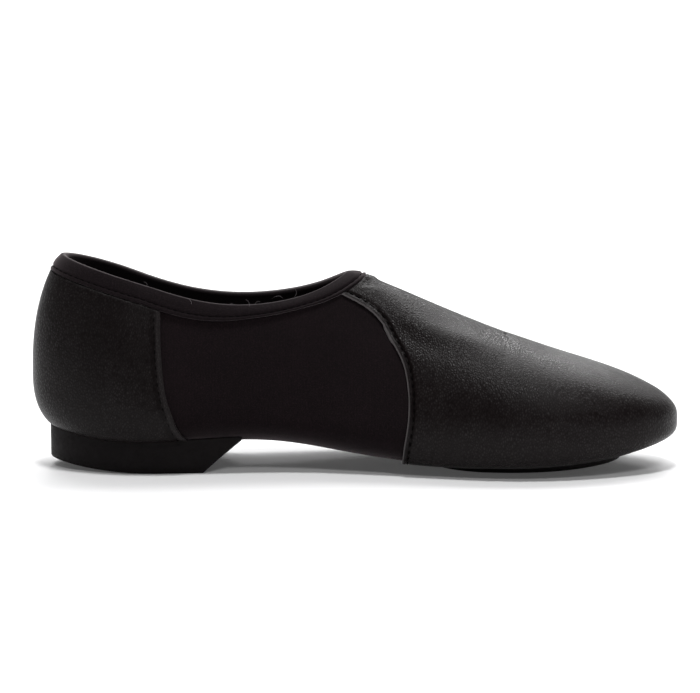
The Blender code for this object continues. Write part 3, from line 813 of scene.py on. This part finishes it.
# The main creases of the vamp's inner side, each through points (x, z) in metres, with how
# far it stands out (below 0 for a trough) and half its width
CREASES = (
    ((
        (0.0020, 0.0672), (0.0086, 0.0640), (0.0149, 0.0595), (0.0201, 0.0555), (0.0260, 0.0522),
        (0.0330, 0.0500), (0.0410, 0.0482), (0.0490, 0.0458), (0.0560, 0.0436),
    ), 0.0009, 0.0052),
    (((0.0125, 0.0545), (0.0198, 0.0508), (0.0261, 0.0474), (0.0354, 0.0448)), -0.0005, 0.0042),
    (((0.0667, 0.0244), (0.0764, 0.0227), (0.0846, 0.0194)), 0.00020, 0.0020),
    (((0.0700, 0.0212), (0.0790, 0.0193), (0.0860, 0.0168)), -0.00020, 0.0020),
    (((0.0760, 0.0330), (0.0827, 0.0314), (0.0962, 0.0238)), -0.00025, 0.0034),
)


def rim_loop(places):
    """The collar's edge: outer side from back to throat, then the inner side to the back."""
    outer = on_last(places, 1.0, rim_turn(places, 1.0))
    inner = on_last(places, -1.0, rim_turn(places, -1.0))
    outer[-1, 1] = inner[-1, 1] = centre_line(THROAT)
    return np.concatenate([outer, inner[-2:0:-1]])


RIM_PLACES = np.append(
    np.unique(np.concatenate([np.linspace(0, 1, 41), np.linspace(1, THROAT_PLACE, 111)[:-1]])),
    THROAT_PLACE,
)
RIM = rim_loop(RIM_PLACES)


def distance_to(points, marks):
    """How far each point is from the nearest of the marks, and which mark that is."""
    far = np.empty(len(points))
    nearest = np.empty(len(points), int)
    for start in range(0, len(points), 2000):
        ways = np.linalg.norm(points[start : start + 2000, None] - marks, axis=-1)
        nearest[start : start + 2000] = ways.argmin(axis=1)
        far[start : start + 2000] = ways.min(axis=1)
    return far, nearest


def band_depth(x):
    """How far down the surface the binding reaches: least at the sides, where it is pulled."""
    return band_shape(share_of(x))[..., 0]


def turns_below_binding(side):
    """The turn at which each section passes the lower edge of the binding."""

    def far_from_the_rim(turn):
        far, nearest = distance_to(on_last(PLACES, side, turn), RIM)
        return far > band_depth(RIM[nearest, 0]) + GAP

    return halved(0 * PLACES + 0.2, top_turns(side), far_from_the_rim)


BELOW_BINDING = {side: turns_below_binding(side) for side in SIDES}


def seam_place(seam, span, side, turn_at, up):
    """The station at which each row of a panel meets a seam, in a span of stations."""

    def behind_the_seam(place):
        point = on_last(place, side, turn_at(place, side, up))
        height = (point[..., 2] - underside(point[..., 0], 1.0)) / INSTEP_HEIGHT
        return point[..., 0] < x_of(seam(height)[..., 0])

    return halved(0 * side + span[0], 0 * side + span[1], behind_the_seam)


def along_line(marks):
    """How far along its line each mark lies."""
    steps = np.linalg.norm(np.diff(marks, axis=0), axis=1)
    return np.concatenate([[0], np.cumsum(steps)])


def spaced(marks, pitch):
    """Points along a line, a pitch apart."""
    ways = along_line(marks)
    count = max(2, int(round(ways[-1] / pitch)) + 1)
    even = np.linspace(0, ways[-1], count)
    return np.stack([np.interp(even, ways, marks[:, axis]) for axis in range(3)], axis=-1)


def seam_marks(seam, span, rows, turn_at):
    """The line of a seam up each side, as closely spaced points on the last."""
    lines = {}
    for side in SIDES:
        up = np.linspace(0, 1, rows + 1)
        sides = np.full_like(up, side)
        place = seam_place(seam, span, sides, turn_at, up)
        lines[side] = spaced(on_last(place, sides, turn_at(place, sides, up)), MARK_PITCH)
    return lines


def from_seam(points, side, seams):
    """How far each point is from its own side's seam, and how far along the seam it lies."""
    far, way = np.empty(len(points)), np.empty(len(points))
    for of_side, marks in seams.items():
        own = side == of_side
        far[own], nearest = distance_to(points[own], marks)
        way[own] = along_line(marks)[nearest]
    return far, way


def inner_side_point(x, z):
    """The point of the last's inner side at a length and a height."""

    def inside(y):
        return excess(np.stack([x, centre_line(x) - y, z], axis=-1)) < 0

    y = halved(0 * x, 0 * x + BALL_WIDTH / 2, inside)
    return np.stack([x, centre_line(x) - y, z], axis=-1)


def crease_relief(points):
    relief = np.zeros(len(points))
    for line, height, half in CREASES:
        x, z = np.array(line).T
        marks = spaced(inner_side_point(x, z), 0.0005)
        far, nearest = distance_to(points, marks)
        fade = np.sin(np.pi * (nearest + 0.5) / len(marks)) ** 0.6
        relief += height * fade * bell(far, half)
    return relief


def stitch_row(far, stitch_in):
    """1 along the row of stitches, where the leather is drawn down into a groove, and where
    the materials darken its colour as painted shade.
    """
    return bell(far - stitch_in, STITCH_GROOVE_HALF)


def hem_relief(far):
    """A folded hem in section: round at the edge, raised, then a groove for the stitches."""
    rounded = -LEATHER * HEM_CUT * (1 - np.clip(far / HEM_ROUND, 0, 1)) ** 2
    raised = HEM_RISE * np.clip((HEM_WIDTH + HEM_EASE - far) / HEM_EASE, 0, 1)
    return rounded + raised - STITCH_GROOVE * stitch_row(far, VAMP_STITCH_IN)


def pucker(far, way):
    """The small swell of the leather between two stitches, which dies away from the seam."""
    beyond = np.clip(far - VAMP_STITCH_IN, 0, None)
    swell = PUCKER_RISE * np.cos(np.pi * way / STITCH_PITCH)
    return swell * np.exp(-beyond / PUCKER_REACH) * (far > PUCKER_START)


def leather_finish(name, dark, light, roughness, grain):
    """Garment leather: small pebbles parted by fine creases, over a slow change of tone."""
    finish = Finish(name, dark, roughness, 0.10)
    drawn = finish.nodes.new("ShaderNodeMapping")
    drawn.inputs["Rotation"].default_value = (0, 0.5, 0)
    drawn.inputs["Scale"].default_value = (1.25, 1.0, 0.75)
    finish.link(finish.place, drawn.inputs["Vector"])
    place = drawn.outputs["Vector"]
    wander = finish.texture("Noise", place, Scale=240.0, Detail=2.0)
    moved = finish.nodes.new("ShaderNodeMix")
    moved.data_type = "VECTOR"
    moved.inputs["Factor"].default_value = 0.0010
    finish.link(place, moved.inputs["A"])
    finish.link(wander.outputs["Color"], moved.inputs["B"])
    pebbles = finish.texture("Voronoi", moved.outputs["Result"], Scale=grain)
    pebbles.feature = "SMOOTH_F1"
    cracks = finish.texture("Voronoi", moved.outputs["Result"], Scale=grain)
    cracks.feature = "DISTANCE_TO_EDGE"
    crack = finish.ranged(cracks.outputs["Distance"], 0.0, 0.40, 0.0, 1.0)
    fine = finish.noise(grain * 2.6, 3.0, place)
    cloud = finish.noise(60.0, 4.0, place)
    swell = finish.noise(330.0, 2.0, place)
    edge = finish.edge()
    pebble = finish.times(pebbles.outputs["Distance"], -0.7)
    rough = (finish.times(crack, 0.6), finish.times(fine, 0.25), finish.times(swell, 0.25))
    inside = finish.ranged(edge, 0.4, 1.0, 1.0, 0.0)
    finish.bump(finish.times(finish.plus(pebble, *rough), inside), 1.0, 0.000115)
    # The mesh's value lightens the leather along edges and darkens it along the stitch grooves as
    # painted shade
    tone = finish.plus(finish.times(finish.times(cloud, crack), 0.62), edge)
    finish.drive("Base Color", finish.tinted(tone, dark, light))
    gloss = finish.ranged(cloud, 0.3, 0.7, roughness - 0.05, roughness + 0.06)
    finish.drive("Roughness", finish.math("SUBTRACT", gloss, finish.times(crack, 0.05)))
    return finish.material


def thread_finish():
    finish = Finish("black_thread", (0.0015, 0.0012, 0.0012), 0.8, 0.05)
    twist = finish.texture("Wave", finish.place, Scale=1500.0, Distortion=1.0)
    twist.bands_direction = "DIAGONAL"
    finish.bump(twist.outputs["Fac"], 0.6, 0.00005)
    return finish.material


thread = thread_finish()


def sew(name, lines, inwards, height, slot, pitch, stitch):
    """Rows of stitches: short rounded lengths of thread, half sunk in the surface, along lines
    on the last that are moved inwards over the piece and up by a height."""
    length, radius = stitch
    bm = bmesh.new()
    for marks, way in lines:
        marks = spaced(marks, pitch)
        facing = snap(marks)[1]
        ahead = np.gradient(marks, axis=0)
        ahead /= np.linalg.norm(ahead, axis=1, keepdims=True)
        across = np.cross(facing, ahead) * way
        places, facing = snap(marks + across * inwards, height)
        for place, along, out in zip(places[1:-1], ahead[1:-1], facing[1:-1]):
            turned = Matrix((along, np.cross(out, along), out)).transposed().to_4x4()
            sized = Matrix.Diagonal((length / 2, radius, radius, 1))
            laid = Matrix.Translation(place) @ turned @ sized
            bmesh.ops.create_uvsphere(bm, u_segments=6, v_segments=5, radius=1.0, matrix=laid)
    return finish_piece(name, bm, [thread], slot)


def round_the_ridge(bm):
    """Rubs the instep's ridge round, where the two sides of the last meet at an angle."""
    near = [
        vert
        for vert in bm.verts
        if not vert.is_boundary
        and vert.co.x > THROAT
        and abs(vert.co.y - centre_line(vert.co.x)) < RIDGE_HALF
        and vert.co.z > widest_level(vert.co.x)
    ]
    for _ in range(RIDGE_RUBS):
        bmesh.ops.smooth_vert(bm, verts=near, factor=0.5, use_axis_z=True)


def make_vamp():
    top_start = float(place_of(x_of(VAMP_TOP_START)))
    ridge = float(place_of(THROAT + band_depth(THROAT) + GAP))
    hem = top_start + HEM_SPAN * (np.linspace(0, 1, HEM_COLUMNS + 1)) ** 1.3
    beyond = np.linspace(hem[-1], 2, VAMP_SIDE_COLUMNS + 1)[1:]
    toe = np.linspace(2, 3, VAMP_TOE_COLUMNS + 1)[1:]
    stations = np.concatenate([hem, beyond, toe])
    turn_at = even_rows(
        turns_clear_of(lambda x, y: inside_pad(x, y, -GAP * 2)), BELOW_BINDING, VAMP_ROWS
    )
    seams = seam_marks(vamp_seam, VAMP_SEAM_SPAN, VAMP_ROWS, turn_at)

    def shape(along, up):
        place, side = round_trip(along, stations)
        start = seam_place(vamp_seam, VAMP_SEAM_SPAN, side, turn_at, up)
        across = seam_place(vamp_seam, VAMP_SEAM_SPAN, -side, turn_at, up)
        on_ridge = (place > ridge) & (up > ON_TOP)
        start = np.where(on_ridge, (start + across) / 2, start)
        fade = np.clip((2 - place) / (2 - top_start), 0, 1)
        place = place + (start - top_start) * fade
        turn = turn_at(place, side, up)
        turn = np.where(on_ridge, math.pi / 2, turn)
        points = on_last(place, side, turn)
        far, way = from_seam(points, side, seams)
        proud = GAP + LEATHER + (hem_relief(far) + pucker(far, way))
        # The leather is coloured lighter along the hem's edge, and darkened as painted shade along
        # the stitch groove
        edge = 2 * np.clip(1.8 - far / LIGHT_EDGE_REACH, 0, 1) - stitch_row(far, VAMP_STITCH_IN)
        proud += np.where(side < 0, crease_relief(points), 0)
        low_edge = np.clip(1 - up * 7, 0, 1)
        round_toe = np.clip((place - GATHER_START) / GATHER_SPAN, 0, 1)
        gathers = np.cos(place * side * 2 * np.pi * GATHER_WAVES + 1.5 * np.sin(place * 19))
        proud += GATHER_RISE * gathers * low_edge * round_toe * np.clip(up * 30, 0, 1)
        return points, proud, edge

    bm = lay_sheet(2 * (len(stations) - 1), VAMP_ROWS, shape)
    round_the_ridge(bm)
    leather = leather_finish("vamp_leather", VAMP_DARK, VAMP_LIGHT, 0.34, 1050.0)
    vamp = finish_piece("vamp_leather", bm, [leather], "leather", "vamp")
    give_wall(vamp, LEATHER)
    lines = [(seams[1.0], 1.0), (seams[-1.0], -1.0)]
    sew("vamp_stitches", lines, VAMP_STITCH_IN, STITCH_HEIGHT, "leather", STITCH_PITCH, VAMP_STITCH)


make_vamp()


# The heel counter: the same leather round the heel, with its front edges left raw and sewn
# down near the edge, from the heel block up to the binding.
COUNTER_SEAM_ROWS = (
    (-0.02, 0.258), (0.023, 0.248), (0.084, 0.230), (0.183, 0.216), (0.289, 0.206),
    (0.420, 0.200), (0.553, 0.197), (0.900, 0.196), (1.200, 0.196),
)
counter_seam = spline(COUNTER_SEAM_ROWS)
COUNTER_SEAM_SPAN = (1.0, 1.4)
COUNTER_STITCH_IN = 0.0024
COUNTER_STITCH = (0.0019, 0.00022)
COUNTER_SWELL = 0.00007
COUNTER_SWELL_REACH = 0.004
RAW_STRIP = 0.26
RAW_STRIP_SETBACK = 0.0006
COUNTER_DARK = (0.0045, 0.0030, 0.0031)
COUNTER_LIGHT = (0.0460, 0.0415, 0.0420)
COUNTER_COLUMNS = 76
COUNTER_ROWS = 62
COUNTER_FADE_START = 0.6


def inside_heel(x, y, margin):
    spread, edge = plan_of(x, y)
    reach = np.hypot(edge - np.clip(x, HEEL_HUB, TOE_HUB), half_width(edge))
    behind = x < x_of(BREAST_TOP) - margin
    return (spread < HEEL_SHARE - margin / np.maximum(reach, 1e-6)) & behind


def make_counter():
    end = float(place_of(x_of(COUNTER_SEAM_ROWS[0][1])))
    stations = np.linspace(0, end, COUNTER_COLUMNS + 1)
    turn_at = even_rows(
        turns_clear_of(lambda x, y: inside_heel(x, y, -GAP * 2)), BELOW_BINDING, COUNTER_ROWS
    )
    seams = seam_marks(counter_seam, COUNTER_SEAM_SPAN, COUNTER_ROWS, turn_at)

    def shape(along, up):
        side = np.where(along < 0.5, -1.0, 1.0)
        place = np.interp(np.abs(2 * along - 1), np.linspace(0, 1, len(stations)), stations)
        front = seam_place(counter_seam, COUNTER_SEAM_SPAN, side, turn_at, up)
        fade = np.clip((place - COUNTER_FADE_START) / (end - COUNTER_FADE_START), 0, 1) ** 1.3
        place = place + (front - end) * fade
        points = on_last(place, side, turn_at(place, side, up))
        far, way = from_seam(points, side, seams)
        row = stitch_row(far, COUNTER_STITCH_IN)
        swell = COUNTER_SWELL * np.cos(2 * np.pi * way / STITCH_PITCH)
        swell = swell * np.exp(-far / COUNTER_SWELL_REACH)
        raw = RAW_STRIP * (far < COUNTER_STITCH_IN - RAW_STRIP_SETBACK)
        # The strip by the raw edge is lighter leather; the stitch row is darkened as painted shade
        return points, GAP + LEATHER + (swell - STITCH_GROOVE * row), raw - row

    bm = lay_sheet(2 * COUNTER_COLUMNS, COUNTER_ROWS, shape)
    leather = leather_finish("counter_leather", COUNTER_DARK, COUNTER_LIGHT, 0.36, 1100.0)
    counter = finish_piece("counter_leather", bm, [leather], "leather", "heel_counter")
    give_wall(counter, LEATHER)
    lines, inwards = [(seams[1.0], -1.0), (seams[-1.0], 1.0)], COUNTER_STITCH_IN
    sew("counter_stitches", lines, inwards, STITCH_HEIGHT, "leather", STITCH_PITCH, COUNTER_STITCH)


make_counter()


# The collar binding: a band of soft jersey, folded over the upper's edge and sewn through
# near its lower edge, so that a narrow lip stands free below the stitches.
BINDING_THICKNESS = 0.0013
BINDING_EASE = 0.0002
STITCH_UP_SHARE = 0.25
BINDING_INNER_SHARE = 0.85
BINDING_GROOVE = 0.00045
FOLD_SHARE = 0.45
BINDING_SWELL = 0.16
LIP_EDGE = 0.4
BAND_STEPS = 12
BINDING_STITCH_PITCH = 0.0026
BINDING_STITCH = (0.0019, 0.0002)
# How strongly, and over how many rings about FOLD_RING, the fold is painted lighter as a painted
# highlight
FOLD_HIGHLIGHT = 1.1
FOLD_HIGHLIGHT_RINGS = 1.2
FOLD_RING = 33.6
JERSEY_DARK = (0.0030, 0.0016, 0.0021)
JERSEY_LIGHT = (0.0125, 0.0077, 0.0095)


def make_binding():
    ahead, behind = np.roll(RIM, -1, axis=0), np.roll(RIM, 1, axis=0)
    ways = (ahead - behind) / np.linalg.norm(ahead - behind, axis=1, keepdims=True)
    edge, normals = snap(RIM)
    down = np.cross(normals, ways)
    down /= np.linalg.norm(down, axis=1, keepdims=True)
    depths = band_depth(RIM[:, 0])
    path, facings, way = [edge], [normals], down
    for _ in range(BAND_STEPS):
        points, facing = snap(path[-1] + way * depths[:, None] / BAND_STEPS)
        way = way - (way * facing).sum(1, keepdims=True) * facing
        way = way / np.linalg.norm(way, axis=1, keepdims=True)
        path.append(points)
        facings.append(facing)
    path, facings = np.array(path), np.array(facings)
    around = np.arange(len(RIM))

    def at_depth(depth):
        at = np.clip(depth / depths, 0, 1) * BAND_STEPS
        i = np.minimum(at.astype(int), BAND_STEPS - 1)
        part = (at - i)[:, None]
        point = path[i, around] * (1 - part) + path[i + 1, around] * part
        return point, facings[i, around] * (1 - part) + facings[i + 1, around] * part

    thick, ease, fold = BINDING_THICKNESS, BINDING_EASE, BINDING_THICKNESS * FOLD_SHARE
    inner = depths * BINDING_INNER_SHARE
    lip = depths * STITCH_UP_SHARE
    groove_at = depths - lip

    def outer_face(depth):
        part = np.clip(depth / groove_at, 0, 1)
        swell = fold + (thick - fold) * part + BINDING_SWELL * thick * np.sin(np.pi * part)
        groove = BINDING_GROOVE * bell(depth - groove_at, BINDING_GROOVE)
        return ease + swell - groove

    section = [(depths - 0.0001, ease + 0 * depths), (depths, ease + thick * LIP_EDGE + 0 * depths)]
    for share in np.linspace(0, 1, 13):
        depth = depths - 0.0002 - (lip + 0.0005) * share
        section.append((depth, outer_face(depth)))
    for share in np.linspace(1, 0, 16)[1:]:
        depth = 0.0002 + (groove_at - 0.0009) * share
        section.append((depth, outer_face(depth)))
    half = (WALL + 2 * ease) / 2 + fold
    for turn in np.linspace(0, math.pi, 12)[1:-1]:
        above = -(ease + fold * 1.2) * math.sin(turn) + 0 * depths
        section.append((above, half * math.cos(turn) - WALL / 2))
    wall = WALL + ease
    for share in np.linspace(0.06, 1, 8):
        section.append((inner * share, -wall - fold))
    section += [(inner, -wall), (inner / 2, -wall), (0 * inner, -wall)]
    section += [(0 * inner - ease, -WALL / 2), (0 * inner, ease), (inner / 2, ease)]

    loops = []
    for depth, out in section:
        points, facing = at_depth(depth)
        out = np.broadcast_to(out, depths.shape)[:, None]
        loops.append(points + facing * out + down * np.minimum(depth, 0.0)[:, None])
    loops = np.array(loops)

    bm, grid = grid_mesh(len(RIM), len(section))
    fold_highlight_layer = bm.verts.layers.float.new("edge")
    for vert, (along, ring) in zip(bm.verts, grid):
        ring, along = ring % len(section), along % len(RIM)
        vert.co = loops[ring, along]
        # A painted highlight along the binding's fold
        vert[fold_highlight_layer] = FOLD_HIGHLIGHT * bell(ring - FOLD_RING, FOLD_HIGHLIGHT_RINGS)
    close_up(bm)
    jersey = knit_finish("binding_jersey", JERSEY_DARK, JERSEY_LIGHT, 700.0, 0.20)
    finish_piece("binding_jersey", bm, [jersey], "binding_fabric", "collar_binding")

    line, facing = at_depth(groove_at)
    lines, height = [(np.concatenate([line, line[:1]]), 1.0)], ease + thick - BINDING_GROOVE
    pitch, slot = BINDING_STITCH_PITCH, "binding_fabric"
    sew("binding_stitches", lines, 0.0, height, slot, pitch, BINDING_STITCH)


make_binding()


# The lint: a few fibres that cling to the binding. Each row gives a fibre's place along the
# rim from 0 to 1, how far down the band it lies, its length, its bend and its turn.
LINT = (
    (0.600, -0.0010, 0.0030, 0.9, 0.5),
    (0.622, -0.0012, 0.0042, 1.3, 1.9),
    (0.640, 0.0020, 0.0026, 0.8, 2.8),
    (0.661, -0.0012, 0.0034, 1.6, 2.3),
    (0.684, 0.0005, 0.0030, 1.0, 1.0),
    (0.712, -0.0010, 0.0022, 1.2, 2.6),
    (0.790, 0.0026, 0.0036, 1.7, 0.3),
    (0.806, 0.0030, 0.0024, 0.9, 2.2),
    (0.868, -0.0008, 0.0020, 1.1, 1.2),
)
LINT_RADIUS = 0.00005
LINT_STEPS = 10
LINT_SIDES = 5
LINT_LIFT = 0.0002


def make_lint():
    lint = Finish("lint", (0.22, 0.20, 0.21), 0.9, 0.1).material
    bm = bmesh.new()
    for share, depth, length, bend, turned in LINT:
        mark = RIM[int(share * len(RIM))][None]
        edge, facing = snap(mark, BINDING_THICKNESS + BINDING_EASE if depth > 0 else 0.0)
        base = Vector(edge[0]) - Vector((0, 0, depth))
        facing = Vector(facing[0])
        made = bmesh.ops.create_grid(bm, x_segments=LINT_STEPS, y_segments=LINT_SIDES, size=0.5)
        for vert in made["verts"]:
            along, around = vert.co.x + 0.5, (vert.co.y + 0.5) * 2 * math.pi
            angle = turned + bend * along
            spine = Vector((math.cos(angle), 0, math.sin(angle))) * length * along
            ring = Vector((-math.sin(angle), 0, math.cos(angle))) * math.cos(around)
            ring += facing * math.sin(around)
            taper = LINT_RADIUS * math.sqrt(max(1 - (2 * along - 1) ** 2, 0.04))
            vert.co = base + spine + ring * taper + facing * LINT_LIFT
    bmesh.ops.remove_doubles(bm, verts=bm.verts, dist=MERGE)
    bmesh.ops.holes_fill(bm, edges=bm.edges, sides=LINT_SIDES)
    bmesh.ops.recalc_face_normals(bm, faces=bm.faces)
    finish_piece("binding_lint", bm, [lint], "binding_fabric")


make_lint()


# The insole: a cushioned sheet of foam under black cloth, glued to the floor of the upper.
INSOLE_SHARE = 0.82
INSOLE_THICKNESS = 0.0020
RINGS = (0.0, 0.15, 0.3, 0.45, 0.6, 0.72, 0.82, 0.9, 0.95, 0.98, 1.0)


def under_last(x, y, offset):
    return snap(np.stack([x, y + centre_line(x), underside_at(x, y)], axis=-1), offset)[0]


def make_slab(hubs, edges, low_edges, top, bottom):
    """A closed slab between two surfaces: each column runs from a hub out to the edge on top,
    down, and back to the hub below. Places in plan have y from the centre line."""
    columns, turn = len(edges), len(RINGS)
    rings = np.array(RINGS + RINGS[::-1])
    bm, grid = grid_mesh(columns, len(rings) - 1)
    at, ring = grid[:, 0] % columns, grid[:, 1]
    above = ring[:, None] < turn
    edge = np.where(above, edges[at], low_edges[at])
    x, y = (hubs[at] + (edge - hubs[at]) * rings[ring][:, None]).T
    points = np.where(above, top(x, y), bottom(x, y))
    for vert, point in zip(bm.verts, points):
        vert.co = point
    close_up(bm)
    return bm


def soften_edges(piece, width, segments):
    bevel = piece.modifiers.new("softened edge", "BEVEL")
    bevel.width = width
    bevel.segments = segments
    bevel.limit_method = "ANGLE"
    bevel.angle_limit = math.radians(40)


def make_insole():
    stations = stations_round(18, 40, 22)
    count = 2 * (len(stations) - 1)
    place, side = round_trip(np.arange(count) / count, stations)
    hub, along, out, reach = station(place)
    hubs = np.stack([hub, 0 * hub], axis=-1)
    edges = hubs + INSOLE_SHARE * reach[:, None] * np.stack([along, side * out], axis=-1)
    bm = make_slab(
        hubs,
        edges,
        edges,
        lambda x, y: under_last(x, y, -WALL - GAP - INSOLE_THICKNESS),
        lambda x, y: under_last(x, y, -WALL - GAP),
    )
    cloth = knit_finish("insole_cloth", (0.010, 0.009, 0.010), (0.022, 0.020, 0.021), 420.0, 0.05)
    insole = finish_piece("insole_sheet", bm, [cloth], "insole_fabric", "insole")
    soften_edges(insole, 0.0006, 2)


make_insole()


# The heel block: moulded rubber, dished on top to seat the heel, with a slanted breast in
# front and a tread that lifts a little at the back.
BREAST_FLOOR = 0.263
BREAST_HOLLOW = 0.0012
TREAD_START = 0.190
TREAD_LIFT = 0.0032


def rubber_finish(name, dark, light):
    finish = Finish(name, dark, 0.62, 0.12)
    grit = finish.noise(2200.0, 4.0)
    cloud = finish.noise(120.0, 4.0)
    scuffs = finish.noise(600.0, 5.0, Distortion=1.5)
    finish.bump(finish.plus(grit, scuffs), 0.45, 0.00008)
    finish.drive("Base Color", finish.tinted(cloud, dark, light))
    finish.drive("Roughness", finish.ranged(scuffs, 0.3, 0.7, 0.52, 0.74))
    return finish.material


def heel_tread(x):
    start = x_of(TREAD_START)
    back = HEEL_HUB - HEEL_SHARE * (HEEL_HUB - REAR)
    radius = ((start - back) ** 2 + TREAD_LIFT**2) / (2 * TREAD_LIFT)
    return radius - np.sqrt(radius**2 - np.clip(start - x, 0, None) ** 2)


def heel_outline(breast):
    """The heel block's edge: from the breast round the back to the breast, then across."""
    front, tread = float(place_of(x_of(breast))), float(place_of(x_of(TREAD_START)))
    places = np.concatenate(
        [np.linspace(front, tread, 13)[:-1], np.linspace(tread, 1, 5)[:-1], np.linspace(1, 0, 33)]
    )
    hub, along, out, reach = station(places)
    x, y = hub + along * reach * HEEL_SHARE, out * reach * HEEL_SHARE
    outer, inner = np.stack([x, y], axis=-1), np.stack([x, -y], axis=-1)[-2::-1]
    across = np.linspace(-1, 1, 19)[1:-1]
    dent = x_of(breast) - BREAST_HOLLOW * (1 - across**2)
    return np.concatenate([outer, inner, np.stack([dent, across * y[0]], axis=-1)])


def make_heel():
    edges, low_edges = heel_outline(BREAST_TOP), heel_outline(BREAST_FLOOR)
    hubs = np.tile([HEEL_HUB, 0.0], (len(edges), 1))
    bm = make_slab(
        hubs,
        edges,
        low_edges,
        lambda x, y: under_last(x, y, GAP),
        lambda x, y: np.stack([x, y + centre_line(x), heel_tread(x)], axis=-1),
    )
    rubber = rubber_finish("heel_rubber", (0.0038, 0.0026, 0.0029), (0.0074, 0.0055, 0.0059))
    heel = finish_piece("heel_block", bm, [rubber], "rubber", "heel")
    soften_edges(heel, 0.0005, 3)


make_heel()


# The forefoot sole: a thin oval pad of rubber under the ball of the foot, flat where it
# stands and following the toe's spring in front.
PAD_COLUMNS = 120


def make_pad():
    turns = np.linspace(0, 2 * math.pi, PAD_COLUMNS + 1)[:-1]
    cosine, sine = np.cos(turns), np.sin(turns)
    power = 2 / PAD_ROUNDNESS
    x = PAD_MIDDLE + PAD_HALF_LENGTH * np.sign(cosine) * np.abs(cosine) ** power
    edges = np.stack([x, PAD_HALF_WIDTH * np.sign(sine) * np.abs(sine) ** power], axis=-1)
    hubs = np.tile([PAD_MIDDLE, 0.0], (PAD_COLUMNS, 1))

    def bottom(x, y):
        z = np.maximum(underside_at(x, y) - GAP - SOLE_THICKNESS, 0.0)
        return np.stack([x, y + centre_line(x), z], axis=-1)

    bm = make_slab(hubs, edges, edges, lambda x, y: under_last(x, y, GAP), bottom)
    rubber = rubber_finish("pad_rubber", (0.0056, 0.0042, 0.0044), (0.0095, 0.0075, 0.0078))
    pad = finish_piece("forefoot_pad", bm, [rubber], "rubber", "forefoot_sole")
    soften_edges(pad, 0.0005, 3)


make_pad()
